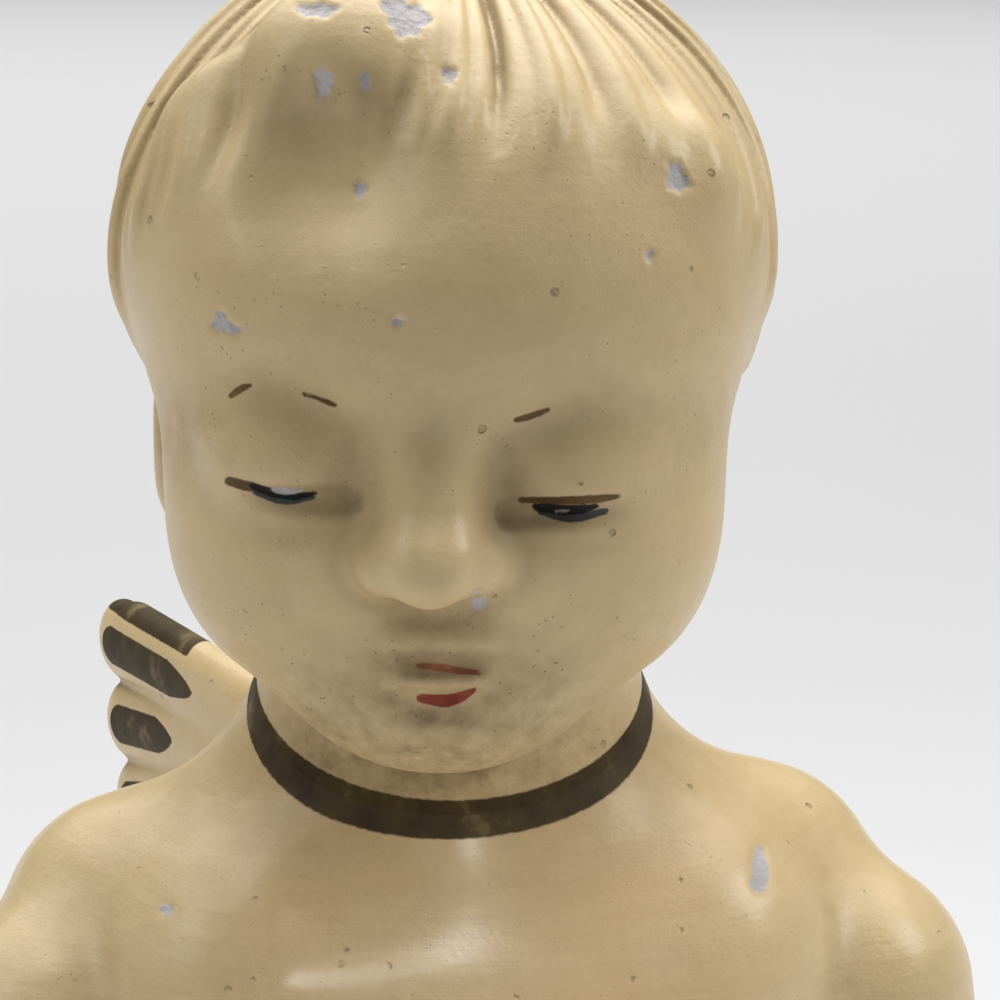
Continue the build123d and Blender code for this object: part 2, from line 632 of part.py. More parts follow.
# Felt under the base
with BuildPart() as felt_pad:
    with BuildSketch():
        with BuildLine():
            add(closed_spline(outline(body_field, (0, COLLAR_Y), BASE_Z, 84, 0.2, 110.0, FELT_INSET)))
        make_face()
    extrude(amount=FELT_THICKNESS)
felt_pad.part.label = "felt_pad"

os.makedirs("parts", exist_ok=True)
export_step(head_front.part, "parts/head_front.step")
export_step(head_back.part, "parts/head_back.step")
export_step(body_front.part, "parts/body_front.step")
export_step(body_back.part, "parts/body_back.step")
export_step(left_wing.part, "parts/left_wing.step")
export_step(right_wing.part, "parts/right_wing.step")
export_step(hands.part, "parts/hands.step")
export_step(neck_dowel.part, "parts/neck_dowel.step")
export_step(left_wing_pins.part, "parts/left_wing_pins.step")
export_step(right_wing_pins.part, "parts/right_wing_pins.step")
export_step(hands_pin.part, "parts/hands_pin.step")
export_step(body_scrim.part, "parts/body_scrim.step")
export_step(head_scrim.part, "parts/head_scrim.step")
export_step(felt_pad.part, "parts/felt_pad.step")
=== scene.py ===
"""Looks of the plaster figure of a kneeling winged child: sculpted skin, paint, studio and camera.

The shared frame is in metres. Sculpting is done in millimetres in the same axes, and every sculpted
piece stands in for the plain casting of the same name.
"""

import logging
import math
from collections.abc import Callable, Sequence
from dataclasses import dataclass, field
from enum import Enum

import bmesh
import bpy
import numpy as np
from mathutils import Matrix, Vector


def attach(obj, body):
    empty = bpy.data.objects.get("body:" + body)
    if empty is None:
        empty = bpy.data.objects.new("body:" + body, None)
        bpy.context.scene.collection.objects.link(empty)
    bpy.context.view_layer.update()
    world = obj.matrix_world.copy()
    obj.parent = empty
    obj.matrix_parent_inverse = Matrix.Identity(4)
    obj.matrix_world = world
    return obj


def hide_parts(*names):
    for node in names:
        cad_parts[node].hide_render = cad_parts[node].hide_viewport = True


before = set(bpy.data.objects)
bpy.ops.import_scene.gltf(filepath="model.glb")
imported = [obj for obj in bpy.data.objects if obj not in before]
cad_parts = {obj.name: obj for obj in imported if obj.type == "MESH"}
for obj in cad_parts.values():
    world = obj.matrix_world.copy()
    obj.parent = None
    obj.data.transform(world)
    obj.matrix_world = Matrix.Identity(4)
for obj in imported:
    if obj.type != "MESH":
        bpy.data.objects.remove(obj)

LOG = logging.getLogger("figure")
# Metres in a mm, and the side of the square picture
MM = 0.001
PICTURE = 1000.0
# Width in mm over which a stored paint level fades, and a distance that no paint or chip reaches
INK_RAMP = 4.0
FAR = 9.0

Pair = tuple[float, float]
Triple = tuple[float, float, float]
Form = Callable[[np.ndarray], np.ndarray]


def step(value: np.ndarray) -> np.ndarray:
    """Smooth step of an array from 0 to 1."""
    share = np.clip(value, 0.0, 1.0)
    return share * share * (3.0 - 2.0 * share)


def turn(z_degrees: float, x_degrees: float) -> np.ndarray:
    """Rotation that first tips about X and then turns about Z.

    Args:
        z_degrees: turn about Z.
        x_degrees: tip about X.

    Returns:
        A 3 by 3 matrix whose columns are the turned axes.
    """
    z, x = math.radians(z_degrees), math.radians(x_degrees)
    about_z = np.array([[math.cos(z), -math.sin(z), 0], [math.sin(z), math.cos(z), 0], [0, 0, 1]])
    about_x = np.array([[1, 0, 0], [0, math.cos(x), -math.sin(x)], [0, math.sin(x), math.cos(x)]])
    return about_z @ about_x


def folded(points: np.ndarray) -> np.ndarray:
    """Points with both sides folded onto +X."""
    return np.abs(points * (1, 0, 0)) + points * (0, 1, 1)


def nearest(points: np.ndarray, start: np.ndarray, axis: np.ndarray) -> tuple[np.ndarray, np.ndarray]:
    """Finds the nearest places on a straight line.

    Args:
        points: positions to start from.
        start: where the line starts.
        axis: the line's direction and length.

    Returns:
        How far along the line each place is, from 0 to 1, and its distance from the point.
    """
    share = np.clip(((points - start) @ axis) / (axis @ axis), 0.0, 1.0)
    return share, np.linalg.norm(points - start - share[:, None] * axis, axis=-1)


class Ink(Enum):
    """Paints laid over the cream coat, with their linear colours; LOSS is bare plaster showing through and
    also a painted highlight on the right pupil.
    """

    OLIVE = (0.080, 0.054, 0.008)
    OCHRE = (0.210, 0.125, 0.030)
    BLACK = (0.018, 0.015, 0.013)
    BLUE = (0.095, 0.105, 0.095)
    ROSE = (0.520, 0.210, 0.105)
    RED = (0.330, 0.058, 0.026)
    LOSS = (0.620, 0.590, 0.560)

    @property
    def channel(self) -> str:
        """Name of the vertex attribute that carries this paint."""
        return "ink_" + self.name.lower()


@dataclass(frozen=True)
class Viewpoint:
    """Where the photograph was taken from; it also places painted strokes by picture position."""

    azimuth: float = -9.0
    elevation: float = 13.0
    distance: float = 280.0
    scale: float = 10.1
    aim: Triple = (2.1, -14.0, 194.1)
    sensor: float = 36.0

    def axes(self) -> np.ndarray:
        """Rows that point right, up and back towards the camera.

        Returns:
            A 3 by 3 matrix.
        """
        a, e = math.radians(self.azimuth), math.radians(self.elevation)
        right = (math.cos(a), math.sin(a), 0.0)
        up = (-math.sin(a) * math.sin(e), math.cos(a) * math.sin(e), math.cos(e))
        back = (math.sin(a) * math.cos(e), -math.cos(a) * math.cos(e), math.sin(e))
        return np.array([right, up, back])

    def project(self, points: np.ndarray) -> np.ndarray:
        """Picture positions of points.

        Args:
            points: positions in mm.

        Returns:
            Positions in the square picture, x to the right and y down.
        """
        seen = (points - np.array(self.aim)) @ self.axes().T
        near = self.scale * self.distance / (self.distance - seen[:, 2])
        middle = PICTURE / 2
        return np.stack([middle + near * seen[:, 0], middle - near * seen[:, 1]], axis=-1)

    def place_camera(self) -> None:
        """Makes the scene's camera."""
        data = bpy.data.cameras.new("camera")
        data.sensor_width = self.sensor
        data.lens = self.sensor * self.scale * self.distance / PICTURE
        data.clip_start, data.clip_end = 0.01, 100.0
        camera = bpy.data.objects.new("camera", data)
        bpy.context.scene.collection.objects.link(camera)
        back = self.axes()[2]
        camera.location = (np.array(self.aim) + back * self.distance) * MM
        camera.rotation_euler = Vector(back).to_track_quat("Z", "Y").to_euler()
        bpy.context.scene.camera = camera


VIEW = Viewpoint()


@dataclass(frozen=True)
class Oval:
    """An oval lump in mm, on both sides of the middle if asked, with the fillet that it joins by."""

    centre: Triple
    radii: Triple
    soft: float = 1.0
    both: bool = False

    def distance(self, points: np.ndarray) -> np.ndarray:
        """Near distance from points to the oval.

        Args:
            points: positions in mm.

        Returns:
            Distances in mm, negative inside.
        """
        points = folded(points) if self.both else points
        offset = (points - np.array(self.centre)) / np.array(self.radii)
        reach = np.linalg.norm(offset, axis=-1)
        slope = np.linalg.norm(offset / np.array(self.radii), axis=-1)
        return reach * (reach - 1.0) / np.maximum(slope, 1e-6)


@dataclass(frozen=True)
class Bar:
    """A round bar in mm that tapers, on both sides of the middle if asked, with its fillet."""

    start: Triple
    end: Triple
    radii: Pair
    soft: float = 1.0
    both: bool = False

    def distance(self, points: np.ndarray) -> np.ndarray:
        """Distance from points to the bar.

        Args:
            points: positions in mm.

        Returns:
            Distances in mm, negative inside.
        """
        points = folded(points) if self.both else points
        first = np.array(self.start, dtype=float)
        share, gap = nearest(points, first, np.array(self.end, dtype=float) - first)
        return gap - (self.radii[0] + share * (self.radii[1] - self.radii[0]))


@dataclass
class Clay:
    """A soft shape that grows by ovals and bars, as distances in mm from a set of points."""

    points: np.ndarray
    depth: np.ndarray | None = None

    def join(self, other: np.ndarray, soft: float = 1.0) -> "Clay":
        """Adds a shape with a fillet.

        Args:
            other: distances to the added shape.
            soft: size of the fillet.

        Returns:
            This clay.
        """
        if self.depth is None:
            self.depth = other
            return self
        share = np.clip(0.5 + 0.5 * (other - self.depth) / soft, 0.0, 1.0)
        self.depth = other + (self.depth - other) * share - soft * share * (1.0 - share)
        return self

    def carve(self, other: np.ndarray, soft: float = 1.0) -> "Clay":
        """Takes a shape away with a soft edge.

        Args:
            other: distances to the shape taken away.
            soft: size of the soft edge.

        Returns:
            This clay.
        """
        self.depth = -self.depth
        self.join(other, soft)
        self.depth = -self.depth
        return self

    def add(self, *shapes: Oval | Bar) -> "Clay":
        """Adds ovals and bars, one after the other.

        Args:
            shapes: the ovals and bars, each with its fillet.

        Returns:
            This clay.
        """
        for shape in shapes:
            self.join(shape.distance(self.points), shape.soft)
        return self

    def cut(self, *shapes: Oval | Bar) -> "Clay":
        """Takes ovals and bars away, one after the other.

        Args:
            shapes: the ovals and bars, each with its soft edge.

        Returns:
            This clay.
        """
        for shape in shapes:
            self.carve(shape.distance(self.points), shape.soft)
        return self


@dataclass(frozen=True)
class Cut:
    """A plane that trims a casting; what lies on the side of the normal is taken away."""

    origin: Triple
    normal: Triple


@dataclass
class SurfaceNet:
    """Turns a form into an even net of quads, sampled finely only near the surface."""

    form: Form
    low: Triple
    high: Triple
    cell: float
    ratio: int = 4
    batch: int = 400000

    def sample(self) -> np.ndarray:
        """The form on a regular grid, exact near the surface and only rough away from it.

        Returns:
            Distances in mm on the fine grid.
        """
        wide = self.cell * self.ratio
        shape = np.ceil((np.array(self.high) - np.array(self.low)) / wide).astype(int) + 1
        rough = self.form(np.indices(shape).reshape(3, -1).T * wide + np.array(self.low)).reshape(shape)
        near = np.abs(rough) < wide * 2.0
        boxes = np.zeros(shape - 1, dtype=bool)
        for corner in np.ndindex(2, 2, 2):
            boxes |= near[tuple(slice(c, c + s - 1) for c, s in zip(corner, shape))]
        grid, band = rough[:-1, :-1, :-1].astype(np.float32), boxes
        for axis in range(3):
            grid, band = np.repeat(grid, self.ratio, axis), np.repeat(band, self.ratio, axis)
        fine = np.argwhere(band)
        for part in np.array_split(fine, max(1, len(fine) // self.batch)):
            grid[tuple(part.T)] = self.form(part * self.cell + np.array(self.low))
        return grid

    def quads(self) -> tuple[np.ndarray, np.ndarray]:
        """Net of the surface.

        Returns:
            Corner positions in mm, and four corner numbers for each face, turned outward.
        """
        grid = self.sample()
        inside = grid < 0.0
        size = np.array(grid.shape) - 1
        corners = list(np.ndindex(2, 2, 2))
        filled = np.zeros(size, dtype=np.uint8)
        for corner in corners:
            filled += inside[tuple(slice(c, c + s) for c, s in zip(corner, size))]
        active = (filled > 0) & (filled < 8)
        cells = np.argwhere(active)
        depth = np.stack([grid[tuple((cells + corner).T)] for corner in corners], axis=-1)
        total, hits = np.zeros((len(cells), 3)), np.zeros(len(cells))
        for i, first in enumerate(corners):
            for j, second in enumerate(corners):
                if sum(abs(a - b) for a, b in zip(first, second)) != 1 or j < i:
                    continue
                crossed = (depth[:, i] < 0.0) != (depth[:, j] < 0.0)
                share = depth[:, i] / np.where(crossed, depth[:, i] - depth[:, j], 1.0)
                crossing = np.array(first) + share[:, None] * (np.array(second) - np.array(first))
                total += crossing * crossed[:, None]
                hits += crossed
        points = (cells + total / hits[:, None]) * self.cell + np.array(self.low)
        number = np.full(size, -1, dtype=np.int64)
        number[active] = np.arange(len(cells))
        faces = []
        for axis in range(3):
            one, two = np.eye(3, dtype=int)[(axis + 1) % 3], np.eye(3, dtype=int)[(axis + 2) % 3]
            along = np.eye(3, dtype=int)[axis]
            start = inside[tuple(slice(0, s) for s in size)]
            end = inside[tuple(slice(a, a + s) for a, s in zip(along, size))]
            edge = np.argwhere(start != end)
            edge = edge[np.all(edge - one - two >= 0, axis=1)]
            ring = [number[tuple((edge - a * one - b * two).T)] for a, b in ((1, 1), (0, 1), (0, 0), (1, 0))]
            face = np.stack(ring, axis=-1)
            outward = start[tuple(edge.T)]
            faces.append(np.where(outward[:, None], face, face[:, ::-1]))
        return self.settle(points), np.concatenate(faces)

    def settle(self, points: np.ndarray) -> np.ndarray:
        """Moves the net's corners onto the form itself.

        Args:
            points: the corners, in mm.

        Returns:
            The moved corners.
        """
        for _ in range(2):
            slope = self.slope(points)
            length = np.maximum((slope * slope).sum(axis=-1), 0.2)
            move = (self.form(points) / length)[:, None] * slope
            points = points - np.clip(move, -self.cell * 0.5, self.cell * 0.5)
        return points

    def slope(self, points: np.ndarray) -> np.ndarray:
        """Direction in which the form's distance grows, at some points.

        Args:
            points: positions in mm.

        Returns:
            One direction for each point, about 1 long.
        """
        reach = 0.1
        return np.stack([self.form(points + reach * way) - self.form(points - reach * way)
                         for way in np.eye(3)], axis=-1) / (2 * reach)


@dataclass
class Casting:
    """One piece trimmed from a net, as a closed mesh in metres."""

    name: str
    points: np.ndarray
    faces: np.ndarray
    cuts: Sequence[Cut] = ()

    def build(self) -> bpy.types.Object:
        """Makes the object, trims it with its cuts and closes each cut with a flat face.

        Returns:
            The linked object.
        """
        mesh = bpy.data.meshes.new(self.name)
        mesh.vertices.add(len(self.points))
        mesh.vertices.foreach_set("co", (self.points * MM).ravel())
        mesh.loops.add(self.faces.size)
        mesh.loops.foreach_set("vertex_index", self.faces.ravel().astype(np.int32))
        mesh.polygons.add(len(self.faces))
        mesh.polygons.foreach_set("loop_start", np.arange(0, self.faces.size, 4, dtype=np.int32))
        mesh.update(calc_edges=True)
        net = bmesh.new()
        net.from_mesh(mesh)
        for face in net.faces:
            face.smooth = True
        for cut in self.cuts:
            bmesh.ops.bisect_plane(net, geom=net.verts[:] + net.edges[:] + net.faces[:], dist=1e-8,
                                   plane_co=Vector(cut.origin) * MM, plane_no=cut.normal, clear_outer=True)
            rim = [edge for edge in net.edges if edge.is_boundary]
            lids = bmesh.ops.holes_fill(net, edges=rim, sides=0)["faces"]
            for lid in lids:
                lid.smooth = False
                for edge in lid.edges:
                    edge.smooth = False
            bmesh.ops.triangulate(net, faces=lids)
        bmesh.ops.recalc_face_normals(net, faces=net.faces[:])
        net.to_mesh(mesh)
        net.free()
        piece = bpy.data.objects.new(self.name, mesh)
        bpy.context.scene.collection.objects.link(piece)
        return piece


def places(piece: bpy.types.Object) -> np.ndarray:
    """Positions of a piece's corners in mm.

    Args:
        piece: a mesh object.

    Returns:
        One row for each corner.
    """
    flat = np.empty(len(piece.data.vertices) * 3)
    piece.data.vertices.foreach_get("co", flat)
    return flat.reshape(-1, 3) / MM


def channel(piece: bpy.types.Object, name: str, values: np.ndarray) -> None:
    """Stores one number for each corner of a piece under a name."""
    layer = piece.data.attributes.new(name, "FLOAT", "POINT")
    layer.data.foreach_set("value", values.astype(np.float32))


def ink_level(distance: np.ndarray) -> np.ndarray:
    """Level stored for a paint: a half on its edge, 1 two mm inside and 0 two mm outside."""
    return np.clip(0.5 - distance / INK_RAMP, 0.0, 1.0)


@dataclass(frozen=True)
class Stroke:
    """A brush stroke laid along picture positions, with a half width at each of them."""

    ink: Ink
    path: Sequence[Pair]
    widths: Sequence[float]
    margin: float = 60.0

    def distance(self, spots: np.ndarray) -> np.ndarray:
        """Distance in picture units from spots to the stroke's edge, negative inside.

        Args:
            spots: picture positions.

        Returns:
            One distance for each spot.
        """
        line = np.column_stack([np.array(self.path, dtype=float), self.widths])
        for _ in range(3):
            before, after = line[:-1], line[1:]
            inner = np.stack([before * 0.75 + after * 0.25, before * 0.25 + after * 0.75], axis=1)
            line = np.concatenate([line[:1], inner.reshape(-1, 3)[1:-1], line[-1:]])
        best = np.full(len(spots), 1e4)
        reach = np.ptp(line[:, :2], axis=0) + self.margin
        near = np.all(np.abs(spots - line[:, :2].mean(axis=0)) < reach, axis=1)
        for a, b in zip(line, line[1:]):
            share, gap = nearest(spots[near], a[:2], b[:2] - a[:2])
            best[near] = np.minimum(best[near], gap - (a[2] + share * (b[2] - a[2])))
        return best


@dataclass(frozen=True)
class Chip:
    """A place where the coat and some plaster are knocked off, by picture position."""

    spot: Pair
    size: Pair
    lean: float = 0.0

    def distance(self, spots: np.ndarray) -> np.ndarray:
        """Distance in picture units from spots to the chip's ragged edge, negative inside.

        Args:
            spots: picture positions.

        Returns:
            One distance for each spot.
        """
        offset = spots - np.array(self.spot)
        c, s = math.cos(self.lean), math.sin(self.lean)
        along, across = offset[:, 0] * c + offset[:, 1] * s, offset[:, 1] * c - offset[:, 0] * s
        around = np.arctan2(across, along)
        rag = 1.0 + 0.16 * np.sin(3 * around + self.spot[0]) + 0.12 * np.sin(7 * around + self.spot[1])
        reach = np.hypot(along / self.size[0], across / self.size[1])
        return (reach / rag - 1.0) * min(self.size)


class Signal:
    """A shader socket that takes part in ordinary arithmetic."""

    def __init__(self, recipe: "Recipe", socket: bpy.types.NodeSocket) -> None:
        """Keeps the socket and the recipe it belongs to."""
        self.recipe = recipe
        self.socket = socket

    def _with(self, operation: str, *others: "Signal | float") -> "Signal":
        """One maths node over this signal and others."""
        return self.recipe.maths(operation, self, *others)

    def __add__(self, other: "Signal | float") -> "Signal":
        """Sum."""
        return self._with("ADD", other)

    def __radd__(self, other: float) -> "Signal":
        """Sum, from the right."""
        return self._with("ADD", other)

    def __sub__(self, other: "Signal | float") -> "Signal":
        """Difference."""
        return self._with("SUBTRACT", other)

    def __rsub__(self, other: float) -> "Signal":
        """Difference, from the right."""
        return self.recipe.maths("SUBTRACT", other, self)

    def __mul__(self, other: "Signal | float") -> "Signal":
        """Product."""
        return self._with("MULTIPLY", other)

    def __rmul__(self, other: float) -> "Signal":
        """Product, from the right."""
        return self._with("MULTIPLY", other)

    def __truediv__(self, other: "Signal | float") -> "Signal":
        """Quotient."""
        return self._with("DIVIDE", other)

    def above(self, edge: float, soft: float) -> "Signal":
        """0 below an edge and 1 above it, with a soft change.

        Args:
            edge: middle of the change.
            soft: width of the change.

        Returns:
            A signal from 0 to 1.
        """
        return ((self - edge) / soft + 0.5).clamped()

    def clamped(self) -> "Signal":
        """The signal kept between 0 and 1."""
        return self.recipe.maths("MINIMUM", self.recipe.maths("MAXIMUM", self, 0.0), 1.0)


class Recipe:
    """Node tree of one material, written as sums of signals."""

    def __init__(self, name: str) -> None:
        """Makes an empty material.

        Args:
            name: the material's name.
        """
        self.material = bpy.data.materials.new(name)
        self.material.use_nodes = True
        self.tree = self.material.node_tree
        self.tree.nodes.clear()

    def node(self, kind: str, settings: dict | None = None, **sockets: object) -> bpy.types.Node:
        """Adds a node.

        Args:
            kind: the node's type.
            settings: properties set on the node.
            sockets: values or signals by socket identifier, with spaces as underscores.

        Returns:
            The new node.
        """
        made = self.tree.nodes.new(kind)
        for key, value in (settings or {}).items():
            setattr(made, key, value)
        for key, value in sockets.items():
            names = (key, key.replace("_", " "))
            target = next(s for s in made.inputs if s.identifier in names)
            if isinstance(value, Signal):
                self.tree.links.new(value.socket, target)
            else:
                target.default_value = value
        return made

    def signal(self, made: bpy.types.Node, output: str) -> Signal:
        """One output of a node as a signal."""
        return Signal(self, next(s for s in made.outputs if s.identifier == output))

    def maths(self, operation: str, *values: Signal | float) -> Signal:
        """One maths node over signals and numbers."""
        sockets = dict(zip(("Value", "Value_001", "Value_002"), values))
        return self.signal(self.node("ShaderNodeMath", {"operation": operation}, **sockets), "Value")

    def mix(self, share: Signal | float, first: object, second: object) -> Signal:
        """Blend of two colours.

        Args:
            share: 0 for the first colour and 1 for the second.
            first: a colour or a signal.
            second: a colour or a signal.

        Returns:
            The blended colour.
        """
        made = self.node("ShaderNodeMix", {"data_type": "RGBA"}, Factor_Float=share,
                         A_Color=self.colour(first), B_Color=self.colour(second))
        return self.signal(made, "Result_Color")

    @staticmethod
    def colour(value: object) -> object:
        """A colour as four numbers, or the signal itself."""
        return value if isinstance(value, Signal) else (*value, 1.0)

    def place(self, stretch: Triple = (1.0, 1.0, 1.0)) -> Signal:
        """Object coordinates in metres, stretched on each axis.

        Args:
            stretch: scale of each axis.

        Returns:
            The stretched coordinates.
        """
        made = self.node("ShaderNodeTexCoord")
        scaled = self.node("ShaderNodeVectorMath", {"operation": "MULTIPLY"},
                           Vector=self.signal(made, "Object"), Vector_001=stretch)
        return self.signal(scaled, "Vector")

    def noise(self, scale: float, detail: float = 3.0, stretch: Triple = (1.0, 1.0, 1.0),
              rough: float = 0.55) -> Signal:
        """Noise from 0 to 1 over object coordinates.

        Args:
            scale: waves in a metre.
            detail: layers of finer noise.
            stretch: scale of each axis.
            rough: strength of the finer layers.

        Returns:
            The noise.
        """
        made = self.node("ShaderNodeTexNoise", Vector=self.place(stretch), Scale=scale, Detail=detail,
                         Roughness=rough)
        return self.signal(made, "Fac")

    def cells(self, scale: float) -> Signal:
        """Distance to the nearest of scattered points, in cell sizes."""
        made = self.node("ShaderNodeTexVoronoi", Vector=self.place(), Scale=scale)
        return self.signal(made, "Distance")

    def channel(self, name: str) -> Signal:
        """A number stored on the mesh."""
        return self.signal(self.node("ShaderNodeAttribute", {"attribute_name": name}), "Fac")

    def bump(self, height: Signal, distance: float, strength: float = 1.0) -> Signal:
        """A normal tilted by a height in units of a distance in metres."""
        made = self.node("ShaderNodeBump", Height=height, Distance=distance, Strength=strength)
        return self.signal(made, "Normal")

    def surface(self, **sockets: object) -> bpy.types.Material:
        """Ends the recipe in a principled surface.

        Args:
            sockets: values or signals of the surface.

        Returns:
            The finished material.
        """
        shader = self.node("ShaderNodeBsdfPrincipled", None, **sockets)
        self.node("ShaderNodeOutputMaterial", None, Surface=self.signal(shader, "BSDF"))
        return self.material


@dataclass(frozen=True)
class PaintedPlaster:
    """Yellowed cream satin paint on cast plaster, with grime, pits, chips and inks, and painted shade
    darkening the hollows and creases.
    """

    name: str
    inks: tuple[Ink, ...] = ()
    cream: Triple = (0.820, 0.640, 0.360)
    aged: Triple = (0.680, 0.475, 0.215)
    # Dark warm tone for rubbed-in grime, also used for painted shade in the hollows and under the chin
    grime_and_shade_tone: Triple = (0.165, 0.105, 0.042)
    plaster: Triple = (0.740, 0.700, 0.690)
    plaster_shade: float = 0.72
    thick_ink: Triple = (0.42, 0.30, 0.30)
    streaks: float = 0.5
    gloss: float = 0.0
    relief: float = 0.00028

    def material(self) -> bpy.types.Material:
        """Builds the material.

        Returns:
            The finished material.
        """
        r = Recipe(self.name)
        broad, middle, fine = r.noise(34.0, 3.0), r.noise(210.0, 4.0), r.noise(1500.0, 4.0)
        streak = r.noise(170.0, 3.0, (0.35, 0.6, 5.0))
        crease_grime_and_shade, chip, dirt = r.channel("cavity"), r.channel("chip"), r.channel("dirt")
        coat = r.mix((broad * 0.9 + middle * 0.5 - 0.35).clamped(), self.cream, self.aged)
        coat = r.mix((streak.above(0.56, 0.2) * (0.30 * self.streaks)), coat, self.aged)
        # Smudged darkening, grime and painted shade under the chin, broken up by noise
        rubbed = dirt * (r.noise(420.0, 5.0, rough=0.7).above(0.5, 0.34) * 0.75 + 0.25)
        # Hollows and creases darkened from the occlusion estimate, partly grime and partly painted shade,
        # plus the smudges
        soil_and_shade = (crease_grime_and_shade * 1.15 * (0.45 + middle)).clamped() + rubbed * 0.8
        coat = r.mix((soil_and_shade * 0.6).clamped(), coat, self.grime_and_shade_tone)
        patch = r.noise(240.0, 3.0)
        spot = (0.15 - r.cells(380.0)).above(0.0, 0.06) * patch.above(0.62, 0.06)
        speck = (0.11 - r.cells(1100.0)).above(0.0, 0.05) * patch.above(0.52, 0.1)
        speck = speck * (0.2 + dirt * 1.6).clamped()
        coat = r.mix((spot * 0.4 + speck * 0.55).clamped(), coat, self.grime_and_shade_tone)
        edge, matt = fine - 0.5, broad * 0.16
        gleam = 0.34 - 0.3 * soil_and_shade.clamped()
        for ink in self.inks:
            reach = (r.channel(ink.channel) - 0.5) * INK_RAMP + edge * 0.24
            cover = reach.above(0.0, 0.16) * (0.86 + 0.14 * middle.above(0.36, 0.1))
            thick = tuple(value * share for value, share in zip(ink.value, self.thick_ink))
            coat = r.mix(cover, coat, r.mix(middle.above(0.5, 0.4), ink.value, thick))
            matt = matt + cover * 0.2
            gleam = gleam * (1.0 - cover * 0.9)
        bare = ((chip - 0.5) * INK_RAMP + edge * 0.7).above(0.0, 0.14)
        dull = tuple(value * self.plaster_shade for value in self.plaster)
        coat = r.mix(bare, coat, r.mix(middle.above(0.45, 0.4), self.plaster, dull))
        satin = (0.40 - self.gloss + matt + soil_and_shade * 0.25 + bare * 0.5).clamped()
        height = streak * 0.5 * self.streaks + middle * 0.5 + fine * 0.3 - spot * 1.1 - speck * 0.8
        height = height - bare * (0.5 - fine * 0.9)
        varnish = ((1.0 - bare) * gleam).clamped()
        return r.surface(Base_Color=coat, Roughness=satin, Normal=r.bump(height, self.relief, 0.85),
                         Coat_Weight=varnish, Coat_Roughness=0.2, Specular_IOR_Level=0.45)


@dataclass(frozen=True)
class PlainFinish:
    """A grained or fibrous finish for the pieces inside the casting."""

    name: str
    light: Triple
    dark: Triple
    stretch: Triple = (1.0, 1.0, 1.0)
    scale: float = 400.0
    rough: float = 0.7
    metal: float = 0.0
    depth: float = 0.0002

    def material(self) -> bpy.types.Material:
        """Builds the material.

        Returns:
            The finished material.
        """
        r = Recipe(self.name)
        grain = r.noise(self.scale, 4.0, self.stretch)
        cloud = r.noise(60.0, 2.0)
        tone = r.mix((grain * 0.8 + cloud * 0.4 - 0.1).clamped(), self.light, self.dark)
        return r.surface(Base_Color=tone, Roughness=(self.rough + (grain - 0.5) * 0.2).clamped(),
                         Metallic=self.metal, Normal=r.bump(grain, self.depth, 0.7))


# Underside of the plaster, seam of the gown and collar joint, in mm
BASE_Z = 2.0
SEAM_Y = 6.0
COLLAR = np.array([0.0, SEAM_Y, 171.5])
COLLAR_UP = turn(-4.5, 22.0)[:, 2]
# Painted neckline band
BAND_HALF_WIDTH = 1.5
BAND_DROP = 0.3
BAND_REACH = 40.0
# Depth of a chip, and how far wings and hands sink into the gown
CHIP_DEPTH = 0.32
SINK = 0.3


def shown(net: SurfaceNet, points: np.ndarray) -> np.ndarray:
    """Whether the surface at some points is turned to the camera."""
    return net.slope(points) @ VIEW.axes()[2] > 0.12


def chip_gap(chips: Sequence[Chip], spots: np.ndarray, facing: np.ndarray) -> np.ndarray:
    """Distance in mm to the nearest chip, for the points that face the camera."""
    lost = np.min([chip.distance(spots) for chip in chips], axis=0) / VIEW.scale
    return np.where(facing, lost, FAR)


